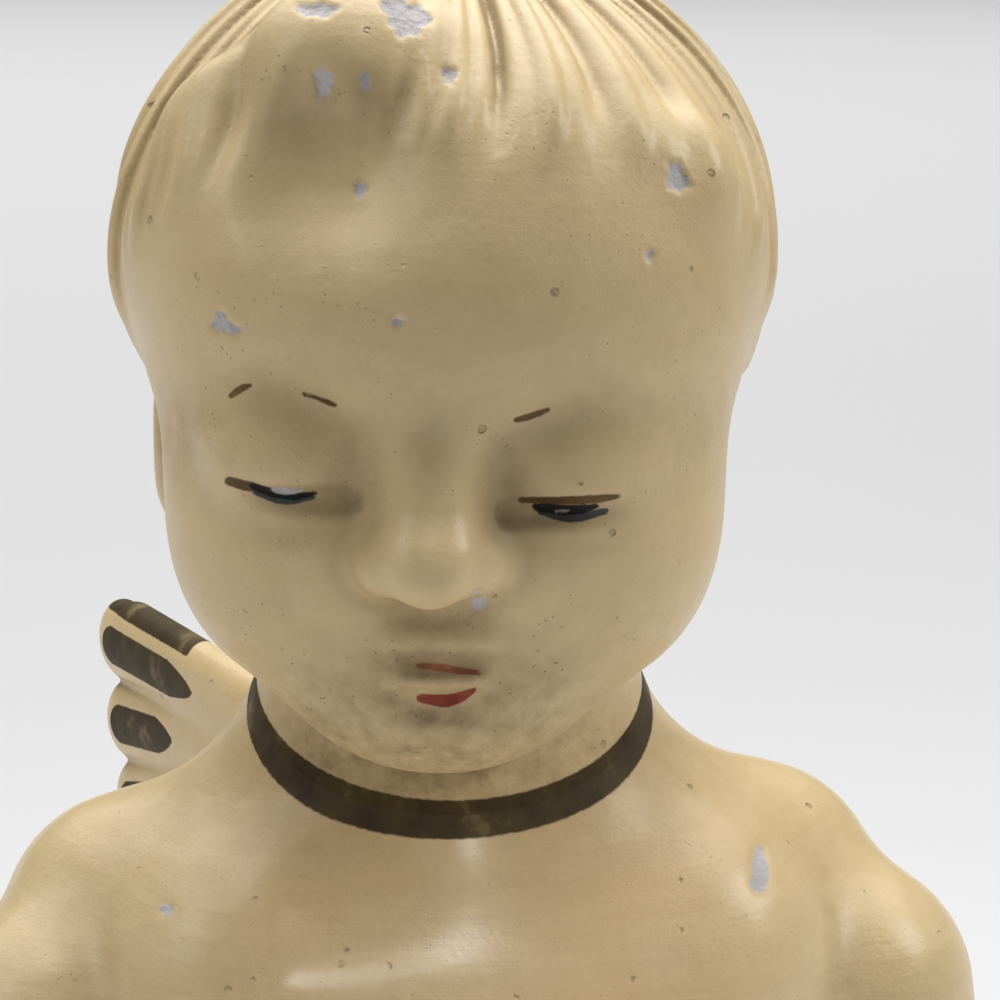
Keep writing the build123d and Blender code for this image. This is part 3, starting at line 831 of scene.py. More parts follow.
@dataclass
class Head:
    """The child's head: cranium, face, ears, moulded hair and painted features."""

    centre: Triple = (-2.5, -9.0, 212.5)
    bow: float = 9.0
    turned: float = -9.0
    seam: float = 3.0
    cell: float = 0.38
    cranium: Oval = Oval((0, 3, 6.6), (30.9, 34.0, 28.3))
    jaw: Oval = Oval((0, -8, -12), (24.8, 24.5, 24.5), 12)
    brow: Oval = Oval((0, -11, 9), (26, 20, 17), 10)
    cheeks: Oval = Oval((12.4, -17, -18), (12.6, 13.0, 13.0), 9, both=True)
    chin: Oval = Oval((-0.3, -23.6, -30.0), (12.0, 8.0, 8.2), 8)
    eyes: tuple[Triple, Triple] = ((-13.8, -24.3, -5.4), (11.6, -24.6, -6.6))
    nose_bridge: Bar = Bar((-0.9, -28.6, 0.5), (-0.9, -34.2, -11.4), (2.4, 3.8), 4.5)
    nose_tip: Oval = Oval((-0.9, -35.6, -12.4), (4.1, 3.9, 3.6), 2.6)
    nose_wings: Pair = (-5.0, 3.2)
    nostrils: Pair = (-3.2, 1.4)
    upper_lip: Bar = Bar((-4.0, -30.6, -21.6), (3.6, -30.6, -21.6), (1.5, 1.5), 2.2)
    lower_lip: Oval = Oval((-0.2, -31.2, -25.0), (4.2, 2.3, 1.9), 1.8)
    mouth_line: Bar = Bar((-5.4, -33.4, -23.2), (5.2, -33.4, -23.2), (0.9, 0.9), 1.2)
    chin_crease: Oval = Oval((-0.2, -34.6, -28.0), (5.0, 2.6, 1.4), 2.4)
    forelock: Oval = Oval((-8.0, -15.5, 28.0), (9.5, 8.0, 8.0), 4)
    forelock_hollow: Oval = Oval((-10.0, -31.2, 23.0), (6.5, 6.5, 6.0), 7)
    right_lock: Oval = Oval((-19.5, -14.5, 20.5), (5.5, 4.0, 7.5), 4)
    left_lock: Oval = Oval((21.0, -16.5, 16.5), (5.0, 4.0, 6.5), 4)
    ears: Pair = (-27.7, 26.2)
    locks: int = 15
    hairline_degrees: Sequence[float] = (0, 30, 50, 65, 78, 90, 110, 180)
    hairline_heights: Sequence[float] = (23, 22, 14, 5, -4, -14, -28, -31)
    hair_rise: float = 0.9
    lock_depth: float = 1.8
    strand_depth: float = 0.6
    hidden_dirt: float = 0.15
    # Smudges by picture position (x, y, radius, strength): mottled grime around the mouth, eyes and hair,
    # and painted shade under the chin and on the neck (the last three)
    grime_and_shade_smudges: Sequence[tuple[float, float, float, float]] = (
        (385, 700, 60, 0.40), (530, 700, 60, 0.35), (440, 640, 45, 0.20), (195, 440, 45, 0.45),
        (345, 478, 35, 0.15), (520, 480, 35, 0.15), (660, 420, 70, 0.25), (345, 130, 50, 0.30),
        (250, 60, 60, 0.35), (480, 745, 90, 0.40), (620, 640, 70, 0.30), (270, 640, 60, 0.25),
        (430, 470, 40, 0.20), (560, 290, 110, 0.16), (300, 330, 110, 0.16), (560, 130, 90, 0.25),
        (700, 300, 60, 0.20), (320, 745, 60, 0.80), (430, 785, 80, 0.80), (560, 755, 70, 0.50),
    )
    strokes: Sequence[Stroke] = field(default_factory=lambda: Head.brushwork())
    chips: Sequence[Chip] = field(default_factory=lambda: Head.damage())

    @staticmethod
    def brushwork() -> list[Stroke]:
        """Painted eyes, brows and lips, by picture position, with a painted highlight on the right pupil.

        Returns:
            The strokes, in the order that they are listed for each paint.
        """
        return [
            Stroke(Ink.OCHRE, ((229, 481), (246, 486), (262, 489)), (4.5, 5.5, 4.0)),
            Stroke(Ink.BLUE, ((256, 492), (284, 501), (314, 497)), (3.5, 6.0, 2.5)),
            Stroke(Ink.BLACK, ((252, 486), (272, 493), (296, 497), (316, 493)), (3.0, 5.0, 4.0, 2.0)),
            Stroke(Ink.LOSS, ((273, 489), (287, 492), (301, 490)), (2.5, 4.0, 2.0)),
            Stroke(Ink.OCHRE, ((521, 500), (560, 501), (600, 499), (620, 496)), (3.0, 4.0, 4.5, 2.0)),
            Stroke(Ink.BLUE, ((540, 511), (572, 519), (606, 511)), (4.0, 6.0, 3.0)),
            Stroke(Ink.BLACK, ((536, 507), (560, 510), (580, 510), (597, 506)), (4.0, 5.5, 5.0, 2.5)),
            # Painted highlight on the right pupil
            Stroke(Ink.LOSS, ((556, 512), (568, 511)), (2.0, 1.8)),
            Stroke(Ink.OCHRE, ((304, 394), (320, 399), (335, 405)), (2.0, 2.5, 2.5)),
            Stroke(Ink.OCHRE, ((231, 396), (240, 389), (250, 385)), (3.0, 4.0, 2.5)),
            Stroke(Ink.OCHRE, ((516, 420), (532, 416), (548, 410)), (3.0, 3.5, 2.5)),
            Stroke(Ink.ROSE, ((418, 666), (440, 667), (460, 671), (480, 673)), (3.0, 4.0, 3.5, 2.5)),
            Stroke(Ink.RED, ((421, 698), (444, 702), (462, 697), (474, 690)), (4.5, 7.0, 5.5, 2.5)),
        ]

    @staticmethod
    def damage() -> list[Chip]:
        """Chips to bare plaster, by picture position.

        Returns:
            The chips.
        """
        return [
            Chip((319, 9), (20, 7)), Chip((406, 17), (24, 17), 0.5), Chip((323, 82), (9, 15)),
            Chip((366, 82), (5, 11)), Chip((449, 74), (7, 8)), Chip((360, 189), (6, 7)),
            Chip((220, 322), (9, 10)), Chip((234, 330), (6, 5)), Chip((678, 178), (10, 15), -0.3),
            Chip((479, 602), (7, 10)), Chip((650, 255), (4, 5)), Chip((398, 322), (6, 5)),
        ]

    def axes(self) -> np.ndarray:
        """The head's own axes as columns."""
        return turn(self.turned, self.bow)

    def local(self, points: np.ndarray) -> np.ndarray:
        """Points in the head's own axes."""
        return (points - np.array(self.centre)) @ self.axes()

    def skull(self, p: np.ndarray) -> Clay:
        """Cranium, cheeks, chin, eyes, nose and lips in the head's own axes.

        Args:
            p: positions in mm, in the head's own axes.

        Returns:
            The clay.
        """
        clay = Clay(p).add(self.cranium, self.jaw, self.brow, self.cheeks, self.chin)
        for x, y, z in self.eyes:
            clay.cut(Oval((x * 0.97, y - 13.2, z + 2.6), (11.0, 7.5, 6.6), 6))
            clay.add(Oval((x, y + 0.2, z + 0.6), (7.8, 7.3, 7.0), 3.0))
            clay.cut(Bar((x - 5.5, y - 7.0, z - 2.4), (x + 5.5, y - 7.0, z - 2.4), (0.7, 0.7), 1.6))
        clay.add(self.nose_bridge, self.nose_tip)
        clay.add(*(Oval((x, -32.8, -13.4), (2.6, 3.1, 2.3), 2.4) for x in self.nose_wings))
        clay.cut(*(Oval((x, -35.2, -16.4), (1.4, 1.8, 0.9), 1.2) for x in self.nostrils))
        clay.add(self.upper_lip, self.lower_lip)
        return clay.cut(self.mouth_line, self.chin_crease)

    def hair(self, p: np.ndarray) -> np.ndarray:
        """Rise of the moulded hair over the skull, in mm.

        Args:
            p: positions in mm, in the head's own axes.

        Returns:
            One rise for each point.
        """
        around = np.arctan2(p[:, 0], -(p[:, 1] - 3.0))
        degrees = np.degrees(np.abs(around))
        line = np.interp(degrees, self.hairline_degrees, self.hairline_heights)
        cover = step((p[:, 2] - line) / 11.0 + 0.5)
        out = np.hypot(p[:, 0], p[:, 1] - 12.0)
        comb = np.arctan2(p[:, 0], -(p[:, 1] - 12.0))
        comb = comb + 0.05 * np.sin(0.13 * p[:, 2] + 1.2) + 0.06 * np.sin(3.0 * comb + 0.10 * p[:, 2])
        uneven = 0.78 + 0.22 * np.sin(5.0 * comb + 0.05 * p[:, 2])
        lock = np.sqrt(np.cos(self.locks * comb) ** 2 + 0.02) - 0.62
        fine = self.locks * 2.6 * comb + 1.4 * np.sin(7.0 * comb)
        strand = np.sqrt(np.cos(fine) ** 2 + 0.08) - 0.66
        spread = step(out / 16.0) * step((p[:, 2] - line) / 9.0 + 0.3)
        grooves = self.lock_depth * lock + self.strand_depth * strand
        return cover * (self.hair_rise + spread * uneven * grooves)

    def form(self, points: np.ndarray) -> np.ndarray:
        """The whole head with its ears, in the figure's axes.

        Args:
            points: positions in mm, in the figure's axes.

        Returns:
            Distances in mm, negative inside.
        """
        p = self.local(points)
        clay = self.skull(p)
        clay.depth = clay.depth - self.hair(p)
        clay.add(self.forelock).cut(self.forelock_hollow).add(self.right_lock, self.left_lock)
        for reach in self.ears:
            clay.add(Oval((reach, 3.0, -14.5), (2.6, 5.8, 9.4), 1.2))
            clay.cut(Oval((reach + math.copysign(3.4, reach), 2.6, -13.5), (1.8, 3.4, 5.8), 1.5))
        return clay.depth

    def paint(self, piece: bpy.types.Object, net: SurfaceNet) -> None:
        """Lays the strokes and chips on the part of the head that the picture shows.

        Args:
            piece: the piece to paint.
            net: the net that it was cut from.
        """
        points = places(piece)
        spots = VIEW.project(points)
        facing = shown(net, points) & (self.local(points)[:, 1] < 4.0)
        for ink in dict.fromkeys(stroke.ink for stroke in self.strokes):
            lines = [stroke.distance(spots) for stroke in self.strokes if stroke.ink is ink]
            gap = np.where(facing, np.min(lines, axis=0) / VIEW.scale, FAR)
            channel(piece, ink.channel, ink_level(gap))
        channel(piece, Ink.OLIVE.channel, collar_level(points))
        # Smudged darkening: grime, and painted shade under the chin and on the neck
        dirt = sum(k * np.exp(-((spots[:, 0] - x) ** 2 + (spots[:, 1] - y) ** 2) / (r * r))
                   for x, y, r, k in self.grime_and_shade_smudges)
        knock(piece, net, chip_gap(self.chips, spots, facing), np.where(facing, dirt, self.hidden_dirt))


def collar_level(points: np.ndarray) -> np.ndarray:
    """Level of the painted neckline band, by height over the collar joint.

    Args:
        points: positions in mm, in the figure's axes.

    Returns:
        A level from 0 to 1 for each point.
    """
    height = (points - COLLAR) @ COLLAR_UP
    side = np.hypot(points[:, 0], points[:, 1] - SEAM_Y)
    return np.where(side < BAND_REACH, ink_level(np.abs(height + BAND_DROP) - BAND_HALF_WIDTH), 0.0)


def knock(piece: bpy.types.Object, net: SurfaceNet, lost: np.ndarray,
          dirt: np.ndarray | float = 0.1) -> None:
    """Sinks the chips, then stores chips, the smudged darkening, and how hollow each place is, which the
    paint turns into grime and painted shade.

    Args:
        piece: the piece, whose corners are moved in by up to a third of a mm.
        net: the net it was cut from.
        lost: distance in mm to the nearest chip's edge.
        dirt: extra darkening laid into the coat, from 0 to 1: rubbed-in grime, and painted shade under the
            chin and on the neck.
    """
    points = places(piece)
    slope = net.slope(points)
    slope = slope / np.maximum(np.linalg.norm(slope, axis=-1), 0.2)[:, None]
    near = np.abs(net.form(points)) < 0.2
    sunk = points - slope * (CHIP_DEPTH * step(0.5 - lost / 0.5) * near)[:, None]
    piece.data.vertices.foreach_set("co", (sunk * MM).ravel())
    piece.data.update()
    # Occlusion estimate of how closed in each place is; the paint lays painted shade and grime by it
    shade = sum(np.clip((reach - net.form(points + slope * reach)) / reach, 0.0, 1.0)
                for reach in (2.0, 5.0))
    channel(piece, "cavity", np.where(near, np.clip(shade - 0.12, 0.0, 1.0), 0.2))
    channel(piece, "chip", ink_level(lost))
    channel(piece, "dirt", np.broadcast_to(dirt, len(points)).copy())


@dataclass
class Gown:
    """Neck, shoulders, arms, sleeves and skirt of the kneeling child."""

    cell: float = 0.8
    shoulders: Bar = Bar((0, 10, 141), (34, 10, 141), (14, 14), both=True)
    slope: Bar = Bar((10, 9, 156), (34, 9, 143.5), (10, 13), 6, both=True)
    chest: Bar = Bar((0, -4, 140), (20, -4, 140), (20, 20), 8, both=True)
    ribs: Oval = Oval((0, 6, 126), (37, 29, 38), 8)
    waist: Oval = Oval((0, 2, 100), (40, 34, 40), 10)
    flare: float = 13.0
    knees: Oval = Oval((19, -30, 12), (18, 18.5, 24), 10, both=True)
    feet: Oval = Oval((0, 40, 0), (44, 42, 30), 16)
    upper_arms: Bar = Bar((42, 0, 134), (46, -8, 104), (15, 13), 4, both=True)
    forearms: Bar = Bar((46, -8, 104), (10, -40, 110), (13, 10.5), both=True)
    hanging: Bar = Bar((45, -8, 92), (18, -35, 86), (12, 8), 13, both=True)
    cuffs: Oval = Oval((0, -38, 107), (12, 10, 10.5), 6)
    sleeve_soft: float = 6.0
    folds: int = 13
    fold_depth: float = 1.6
    fold_top: float = 92.0
    fold_drop: float = 80.0
    chips: Sequence[Chip] = (Chip((761, 873), (9, 24)), Chip((167, 910), (7, 6)))

    def form(self, points: np.ndarray) -> np.ndarray:
        """The gown in the figure's axes.

        Args:
            points: positions in mm, in the figure's axes.

        Returns:
            Distances in mm, negative inside.
        """
        p = points
        clay = Clay(p).add(self.shoulders, self.slope, self.chest, self.ribs, self.waist)
        _, middle, waist_z = self.waist.centre
        half_width, half_depth, _ = self.waist.radii
        rise = np.clip(1.0 - (p[:, 2] - BASE_Z) / (waist_z - BASE_Z), 0.0, 1.0)
        width, depth = half_width + self.flare * rise, half_depth + self.flare * rise
        above = np.maximum(p[:, 2] - waist_z, 0.0) / half_depth
        reach = np.sqrt((p[:, 0] / width) ** 2 + ((p[:, 1] - middle) / depth) ** 2 + above ** 2)
        clay.join((reach - 1.0) * np.minimum(width, depth), self.waist.soft).add(self.knees, self.feet)
        around = np.arctan2(p[:, 0], -p[:, 1])
        drop = step((self.fold_top - p[:, 2]) / self.fold_drop)
        wave = np.cos(self.folds * around + 1.1 * np.sin(2.0 * around))
        clay.depth = clay.depth - self.fold_depth * drop * wave
        sleeve = Clay(p).add(self.forearms, self.hanging, self.cuffs)
        return clay.add(self.upper_arms).join(sleeve.depth, self.sleeve_soft).depth

    def paint(self, piece: bpy.types.Object, net: SurfaceNet) -> None:
        """Paints the neckline band and stores the chips.

        Args:
            piece: the piece to paint.
            net: the net that it was cut from.
        """
        points = places(piece)
        spots = VIEW.project(points)
        facing = shown(net, points) & (points[:, 1] < 10.0)
        channel(piece, Ink.OLIVE.channel, collar_level(points))
        knock(piece, net, chip_gap(self.chips, spots, facing))


@dataclass
class Figure:
    """Head and gown as one soft form, cast in four shells that meet at the seams and the collar."""

    head: Head = field(default_factory=Head)
    gown: Gown = field(default_factory=Gown)
    neck_low: Triple = (0.0, 8.5, 150.0)
    neck_high: Triple = (0.0, 6.0, -18.0)
    neck_radii: Pair = (22.0, 18.0)
    head_low: float = 150.0
    gown_high: float = 192.0

    def neck(self, clay: Clay) -> Clay:
        """Adds the neck, which the head and the gown share."""
        high = np.array(self.head.centre) + self.head.axes() @ np.array(self.neck_high)
        return clay.add(Bar(self.neck_low, tuple(high), self.neck_radii, 12))

    def whole(self, points: np.ndarray) -> np.ndarray:
        """Head, neck and gown together; each is worked out only at heights that it can reach.

        Args:
            points: positions in mm, in the figure's axes.

        Returns:
            Distances in mm, negative inside.
        """
        far = np.full(len(points), 60.0)
        gown, head = far.copy(), far.copy()
        low, high = points[:, 2] < self.gown_high, points[:, 2] > self.head_low
        gown[low], head[high] = self.gown.form(points[low]), self.head.form(points[high])
        return self.neck(Clay(points, gown)).join(head, 4).depth

    def build(self) -> dict[str, bpy.types.Object]:
        """Casts and paints the four shells.

        Returns:
            The pieces by the node that each stands for.
        """
        origin, up = tuple(COLLAR), COLLAR_UP
        seam = self.head.axes()[:, 1]
        seam_at = np.array(self.head.centre) + seam * self.head.seam
        top = SurfaceNet(self.whole, (-38, -52, 150), (36, 34, 252), self.head.cell)
        low = SurfaceNet(self.whole, (-66, -58, -4), (66, 90, 188), self.gown.cell)
        base = Cut((0, 0, BASE_Z), (0, 0, -1))
        collar_low, collar_high = Cut(origin, tuple(-up)), Cut(origin, tuple(up))
        made = {}
        points, faces = top.quads()
        for name, way in (("head_front", 1), ("head_back", -1)):
            cuts = (collar_low, Cut(tuple(seam_at), tuple(seam * way)))
            piece = Casting(name, points, faces, cuts).build()
            self.head.paint(piece, top)
            made[name] = piece
        points, faces = low.quads()
        for name, way in (("body_front", 1), ("body_back", -1)):
            cuts = (collar_high, base, Cut((0, SEAM_Y, 0), (0, way, 0)))
            piece = Casting(name, points, faces, cuts).build()
            self.gown.paint(piece, low)
            made[name] = piece
        return made

    def dress(self, pieces: dict[str, bpy.types.Object]) -> None:
        """Gives each shell its paint and its place in the frame.

        Args:
            pieces: the shells by the node that each stands for.
        """
        inks = (Ink.OLIVE, Ink.OCHRE, Ink.BLUE, Ink.BLACK, Ink.LOSS, Ink.ROSE, Ink.RED)
        head = PaintedPlaster("head_paint", inks, streaks=0.35).material()
        gown = PaintedPlaster("gown_paint", (Ink.OLIVE,), streaks=0.8, gloss=0.10).material()
        for node, piece in pieces.items():
            place(piece, "painted_plaster", head if node.startswith("head") else gown, node)


def place(piece: bpy.types.Object, slot: str, material: bpy.types.Material, *nodes: str) -> None:
    """Gives a piece its material and its body, logs its slot, and lets it stand for nodes.

    Args:
        piece: the piece.
        slot: name of the material slot, which is only logged.
        material: the finish.
        nodes: nodes that the piece stands for.
    """
    piece.data.materials.clear()
    piece.data.materials.append(material)
    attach(piece, "root")
    if nodes:
        piece.name = nodes[0] + "_cast"
        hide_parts(*nodes)
    LOG.info("%s: %d faces, slot %s", piece.name, len(piece.data.polygons), slot)


@dataclass
class Wing:
    """A folded-back wing of overlapping feathers, with a painted stroke along each feather."""

    name: str
    side: float
    figure: Figure
    root: Triple = (-14.0, 30.0, 136.0)
    sweep: float = 21.0
    cell: float = 0.5
    feathers: int = 9
    feather_radii: Pair = (4.6, 5.4)
    leading_edge: Bar = Bar((2.0, 18.0, 0.0), (48.0, 20.5, 0.0), (6.0, 4.4), 2.0)
    shoulder: Bar = Bar((4.0, 12.0, 0.0), (4.0, -12.0, 0.0), (7.5, 6.5), 4.0)
    flatness: float = 1.7
    rim_height: float = 23.4
    rim_middle: float = 42.0
    rim_half_length: float = 14.0

    def local(self, points: np.ndarray) -> np.ndarray:
        """Points as distance along the span, height, and distance off the wing's middle plane.

        Args:
            points: positions in mm, in the figure's axes.

        Returns:
            The three distances for each point.
        """
        a = math.radians(self.sweep)
        offset = points * np.array([-self.side, 1.0, 1.0]) - np.array(self.root)
        along = offset @ np.array([-math.sin(a), math.cos(a), 0.0])
        off = offset @ np.array([-math.cos(a), -math.sin(a), 0.0])
        return np.stack([along, offset[:, 2], off], axis=-1)

    def fan(self) -> list[tuple[Pair, Pair, float]]:
        """Start, end and inner end of the painted stroke of each feather, in the wing's plane.

        Returns:
            One entry for each feather, the top one first.
        """
        blades = []
        for i in range(self.feathers):
            angle = math.radians(-1.0 - 7.5 * i)
            length = 47.0 - 1.4 * i
            start = (6.0, 20.0 - 4.6 * i)
            end = (start[0] + length * math.cos(angle), start[1] + length * math.sin(angle))
            blades.append((start, end, 0.58 if i == 1 else 0.4))
        return blades

    def form(self, points: np.ndarray) -> np.ndarray:
        """The wing, cut back where it meets the gown.

        Args:
            points: positions in mm, in the figure's axes.

        Returns:
            Distances in mm, negative inside.
        """
        p = self.local(points)
        clay = Clay(p * np.array([1.0, 1.0, self.flatness]))
        for start, end, _ in self.fan():
            clay.add(Bar((*start, 0.0), (*end, 0.0), self.feather_radii, 1.2))
        clay.add(self.leading_edge, self.shoulder)
        return np.maximum(clay.depth / 1.25, -self.figure.whole(points) - SINK)

    def build(self) -> tuple[bpy.types.Object, SurfaceNet]:
        """Casts the wing.

        Returns:
            The wing and the net that it was cut from.
        """
        low, high = (-54.0, 22.0, 74.0), (-4.0, 100.0, 168.0)
        if self.side > 0:
            low, high = (4.0, *low[1:]), (54.0, *high[1:])
        net = SurfaceNet(self.form, low, high, self.cell)
        return Casting(self.name, *net.quads()).build(), net

    def dress(self, piece: bpy.types.Object, net: SurfaceNet) -> None:
        """Paints the strokes and places the wing.

        Args:
            piece: the piece to paint.
            net: the net that it was cut from.
        """
        points = places(piece)
        p = self.local(points)
        best = np.full(len(points), FAR)
        for start, end, inner in self.fan():
            axis = np.array(end) - np.array(start)
            share, gap = nearest(p[:, :2], np.array(start) + axis * inner, axis * (0.96 - inner))
            width = (2.3 + 0.3 * share) * np.sqrt(np.clip(share / 0.3, 0.02, 1.0))
            best = np.minimum(best, gap - width)
        rim = np.maximum(self.rim_height - p[:, 1], np.abs(p[:, 0] - self.rim_middle) - self.rim_half_length)
        channel(piece, Ink.OLIVE.channel, ink_level(np.minimum(best, rim)))
        knock(piece, net, np.full(len(points), FAR))
        paint = PaintedPlaster(self.name + "_paint", (Ink.OLIVE,)).material()
        place(piece, "painted_plaster", paint, self.name)


@dataclass
class Hands:
    """Joined hands that come out of the sleeves."""

    figure: Figure
    root: Triple = (0.0, -41.0, 114.0)
    lean: float = 30.0
    cell: float = 0.42
    wrists: Bar = Bar((3.4, 0, -8), (3.4, 0, 6), (6.2, 6.6), both=True)
    palms: Oval = Oval((3.2, 0, 12), (4.4, 9.2, 12), 4, both=True)
    thumbs: Bar = Bar((3.3, 9.0, 6), (2.8, 8.6, 22), (2.8, 2.3), 0.9, both=True)
    finger_reach: Sequence[float] = (0.8, 0.95, 1.0, 0.86)
    finger_pitch: float = 4.5
    palm_gap: float = 0.15

    def form(self, points: np.ndarray) -> np.ndarray:
        """Palms, fingers and thumbs, cut back where they meet the sleeves.

        Args:
            points: positions in mm, in the figure's axes.

        Returns:
            Distances in mm, negative inside.
        """
        a = math.radians(self.lean)
        offset = points - np.array(self.root)
        up = offset @ np.array([0.0, -math.sin(a), math.cos(a)])
        across = offset @ np.array([0.0, math.cos(a), math.sin(a)])
        p = np.stack([offset[:, 0], across, up], axis=-1)
        clay = Clay(p).add(self.wrists, self.palms)
        for i, reach in enumerate(self.finger_reach):
            y = (i - 1.5) * self.finger_pitch
            clay.add(Bar((3.2, y, 16), (2.5, y * 0.8, 18 + 20 * reach), (2.6, 2.0), 0.7, both=True))
        clay.add(self.thumbs).carve(np.abs(p[:, 0]) - self.palm_gap, 0.8)
        return np.maximum(clay.depth, -self.figure.whole(points) - SINK)

    def build(self) -> tuple[bpy.types.Object, SurfaceNet]:
        """Casts the hands."""
        net = SurfaceNet(self.form, (-13.0, -72.0, 104.0), (13.0, -26.0, 158.0), self.cell)
        return Casting("hands", *net.quads()).build(), net

    def dress(self, piece: bpy.types.Object, net: SurfaceNet) -> None:
        """Paints and places the hands."""
        knock(piece, net, np.full(len(piece.data.vertices), FAR))
        place(piece, "painted_plaster", PaintedPlaster("hands_paint").material(), "hands")


@dataclass
class FeltFringe:
    """Loose fibres that stand out from the felt's cut edge."""

    density: float = 260000.0
    length: float = 0.0007
    root_radius: float = 0.00006
    tip_radius: float = 0.00002
    lean: float = 0.9
    seed: int = 7

    def edge(self) -> bpy.types.Object:
        """The upright faces of the felt as an object of their own.

        Returns:
            The linked object, with open edges that only carry the fibres.
        """
        net = bmesh.new()
        net.from_mesh(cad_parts["felt_pad"].data)
        level = [face for face in net.faces if abs(face.normal.z) > 0.5]
        bmesh.ops.delete(net, geom=level, context="FACES")
        mesh = bpy.data.meshes.new("felt_edge")
        net.to_mesh(mesh)
        net.free()
        made = bpy.data.objects.new("felt_edge", mesh)
        bpy.context.scene.collection.objects.link(made)
        return made

    def tree(self, material: bpy.types.Material) -> bpy.types.NodeTree:
        """Node tree that stands fibres on a surface.

        Args:
            material: finish of the fibres.

        Returns:
            The tree, with inputs for density, length and seed.
        """
        tree = bpy.data.node_groups.new("fringe", "GeometryNodeTree")
        face = tree.interface
        face.new_socket("Geometry", in_out="INPUT", socket_type="NodeSocketGeometry")
        for name, kind in (("Density", "Float"), ("Length", "Float"), ("Seed", "Int")):
            face.new_socket(name, in_out="INPUT", socket_type="NodeSocket" + kind)
        face.new_socket("Geometry", in_out="OUTPUT", socket_type="NodeSocketGeometry")
        add, link = tree.nodes.new, tree.links.new
        source, sink = add("NodeGroupInput"), add("NodeGroupOutput")
        scatter, fibre = add("GeometryNodeDistributePointsOnFaces"), add("GeometryNodeMeshCone")
        stand, size = add("GeometryNodeInstanceOnPoints"), add("FunctionNodeRandomValue")
        lean, tilt = add("FunctionNodeRandomValue"), add("FunctionNodeRotateRotation")
        real, paint = add("GeometryNodeRealizeInstances"), add("GeometryNodeSetMaterial")
        fibre.inputs["Vertices"].default_value = 4
        fibre.inputs["Radius Bottom"].default_value = self.root_radius
        fibre.inputs["Radius Top"].default_value = self.tip_radius
        size.inputs[2].default_value, size.inputs[3].default_value = 0.3, 1.0
        lean.data_type = "FLOAT_VECTOR"
        lean.inputs[0].default_value = (-self.lean,) * 3
        lean.inputs[1].default_value = (self.lean,) * 3
        tilt.rotation_space = "LOCAL"
        paint.inputs["Material"].default_value = material
        link(source.outputs["Geometry"], scatter.inputs["Mesh"])
        link(source.outputs["Density"], scatter.inputs["Density"])
        for drawn in (scatter, size, lean):
            link(source.outputs["Seed"], drawn.inputs["Seed"])
        link(source.outputs["Length"], fibre.inputs["Depth"])
        link(scatter.outputs["Points"], stand.inputs["Points"])
        link(scatter.outputs["Rotation"], tilt.inputs["Rotation"])
        link(lean.outputs[0], tilt.inputs["Rotate By"])
        link(tilt.outputs["Rotation"], stand.inputs["Rotation"])
        link(size.outputs[1], stand.inputs["Scale"])
        link(fibre.outputs["Mesh"], stand.inputs["Instance"])
        link(stand.outputs["Instances"], real.inputs["Geometry"])
        link(real.outputs["Geometry"], paint.inputs["Geometry"])
        link(paint.outputs["Geometry"], sink.inputs["Geometry"])
        return tree

    def build(self, material: bpy.types.Material) -> bpy.types.Object:
        """Grows the fibres and keeps them as a plain mesh.

        Args:
            material: finish of the fibres.

        Returns:
            The piece.
        """
        piece = self.edge()
        tree = self.tree(material)
        grown = piece.modifiers.new("fringe", "NODES")
        grown.node_group = tree
        keys = {item.name: item.identifier for item in tree.interface.items_tree if item.in_out == "INPUT"}
        for name, value in (("Density", self.density), ("Length", self.length), ("Seed", self.seed)):
            grown[keys[name]] = value
        bpy.context.view_layer.update()
        ready = piece.evaluated_get(bpy.context.evaluated_depsgraph_get())
        mesh = bpy.data.meshes.new_from_object(ready)
        piece.modifiers.clear()
        piece.data = mesh
        piece.name = "felt_fringe"
        return piece


@dataclass
class Inside:
    """The pieces that keep their plain shapes: dowel, wires, jute strips and felt."""

    felt: PlainFinish = PlainFinish("felt", (0.030, 0.075, 0.036), (0.014, 0.040, 0.020),
                                    scale=900.0, rough=0.95, depth=0.0004)
    wood: PlainFinish = PlainFinish("beech", (0.46, 0.30, 0.15), (0.30, 0.17, 0.075), (1.0, 1.0, 0.12),
                                    scale=700.0, rough=0.6)
    wire: PlainFinish = PlainFinish("wire", (0.42, 0.41, 0.40), (0.24, 0.22, 0.20), (1.0, 1.0, 0.2),
                                    scale=900.0, rough=0.42, metal=1.0, depth=0.00005)
    jute: PlainFinish = PlainFinish("jute", (0.42, 0.31, 0.17), (0.20, 0.13, 0.06), (1.0, 1.0, 0.3),
                                    scale=800.0, rough=0.95, depth=0.0005)

    def dress(self) -> None:
        """Gives each plain piece its finish and adds the felt's fibres."""
        felt = self.felt.material()
        finishes = {"felt_pad": felt, "neck_dowel": self.wood.material()}
        wire, jute = self.wire.material(), self.jute.material()
        finishes |= {name: wire for name in ("left_wing_pins", "right_wing_pins", "hands_pin")}
        finishes |= {name: jute for name in ("body_scrim", "head_scrim")}
        for name, material in finishes.items():
            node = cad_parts[name]
            node.data.materials.clear()
            node.data.materials.append(material)
            LOG.info("%s: finish %s", name, material.name)
        place(FeltFringe().build(felt), "felt", felt)


@dataclass(frozen=True)
class Lamp:
    """A square soft light: power in watts, size and places in metres, spread in degrees."""

    name: str
    power: float
    size: float
    spot: Triple
    target: Triple
    spread: float = 180.0

    def build(self) -> None:
        """Hangs the light so that it points at its target."""
        light = bpy.data.lights.new(self.name, "AREA")
        light.energy, light.size, light.spread = self.power, self.size, math.radians(self.spread)
        made = bpy.data.objects.new(self.name, light)
        bpy.context.scene.collection.objects.link(made)
        made.location = self.spot
        made.rotation_euler = (Vector(self.spot) - Vector(self.target)).to_track_quat("Z", "Y").to_euler()


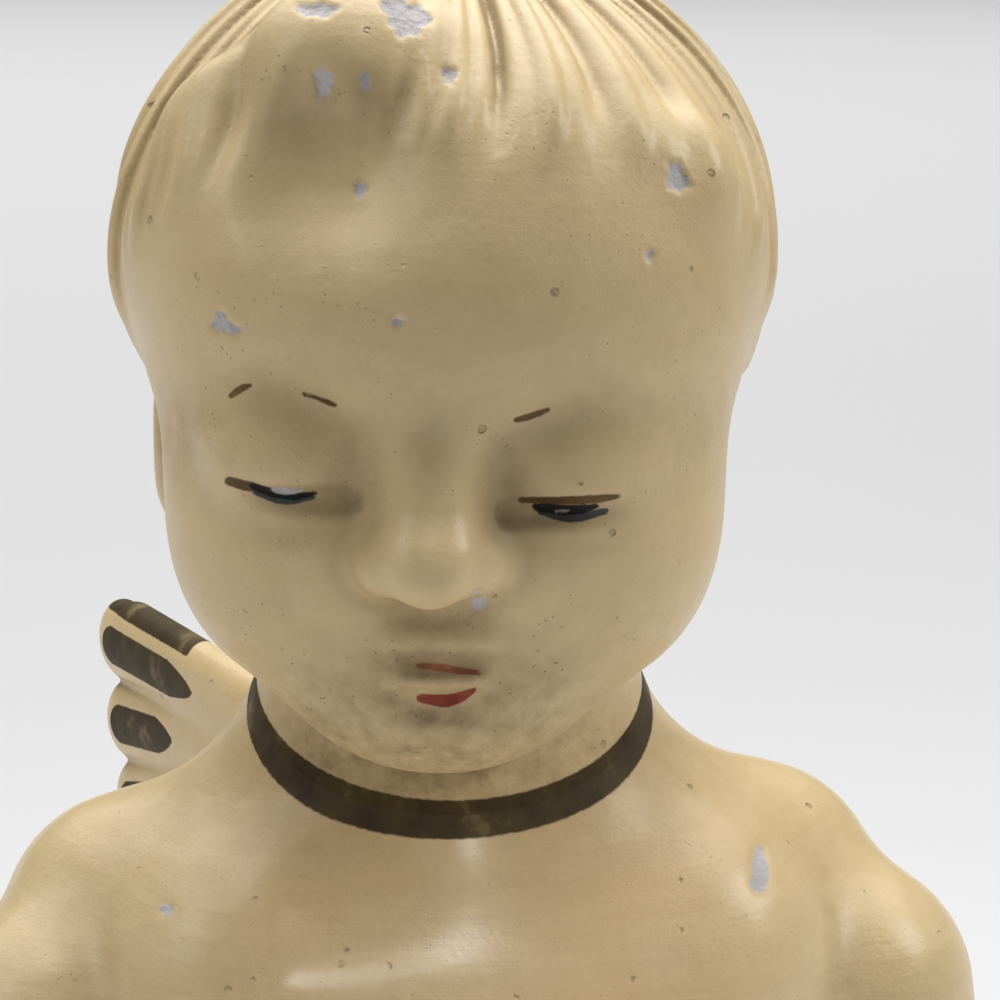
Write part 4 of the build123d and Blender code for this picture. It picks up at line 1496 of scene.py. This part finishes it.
@dataclass
class Studio:
    """Pale floor, soft light from above and behind, and weak fills from the front."""

    floor_tone: Triple = (0.86, 0.86, 0.87)
    floor_half: float = 30.0
    sky_tone: Triple = (0.95, 0.97, 1.0)
    sky: float = 0.03
    lamps: tuple[Lamp, ...] = (
        Lamp("overhead", 0.95, 0.36, (0.02, 0.06, 0.56), (0.0, -0.01, 0.2)),
        Lamp("backdrop", 205.0, 6.5, (0.0, 2.6, 3.0), (0.0, 2.6, 0.0)),
        Lamp("right", 0.95, 0.22, (0.50, -0.10, 0.50), (0.0, -0.02, 0.17)),
        Lamp("left", 0.40, 0.22, (-0.50, -0.10, 0.50), (0.0, -0.02, 0.17)),
        Lamp("front", 0.11, 0.05, (0.0, -0.24, 0.60), (0.0, -0.03, 0.18)),
        Lamp("chest", 0.0032, 0.05, (0.03, -0.42, 0.34), (0.004, -0.03, 0.134), 13.0),
    )

    def build(self) -> None:
        """Makes the floor, the lights and the camera."""
        bpy.context.scene.view_settings.view_transform = "Standard"
        self.floor()
        world = bpy.data.worlds.new("studio")
        world.use_nodes = True
        back = world.node_tree.nodes["Background"]
        back.inputs["Color"].default_value = (*self.sky_tone, 1.0)
        back.inputs["Strength"].default_value = self.sky
        bpy.context.scene.world = world
        for lamp in self.lamps:
            lamp.build()
        VIEW.place_camera()

    def floor(self) -> None:
        """Makes the wide pale floor."""
        mesh = bpy.data.meshes.new("floor")
        half = self.floor_half
        corners = [(-half, -half, 0), (half, -half, 0), (half, half, 0), (-half, half, 0)]
        mesh.from_pydata(corners, [], [(0, 1, 2, 3)])
        floor = bpy.data.objects.new("floor", mesh)
        bpy.context.scene.collection.objects.link(floor)
        recipe = Recipe("floor")
        shade = recipe.noise(3.0, 2.0)
        tone = recipe.mix(shade, self.floor_tone, tuple(v * 0.98 for v in self.floor_tone))
        mesh.materials.append(recipe.surface(Base_Color=tone, Roughness=0.9))


def main() -> None:
    """Builds every piece and the studio."""
    logging.basicConfig(level=logging.INFO, format="%(name)s: %(message)s")
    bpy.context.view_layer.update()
    figure = Figure()
    figure.dress(figure.build())
    for name, side in (("right_wing", -1.0), ("left_wing", 1.0)):
        wing = Wing(name, side, figure)
        wing.dress(*wing.build())
    hands = Hands(figure)
    hands.dress(*hands.build())
    Inside().dress()
    Studio().build()


if __name__ == "__main__":
    main()
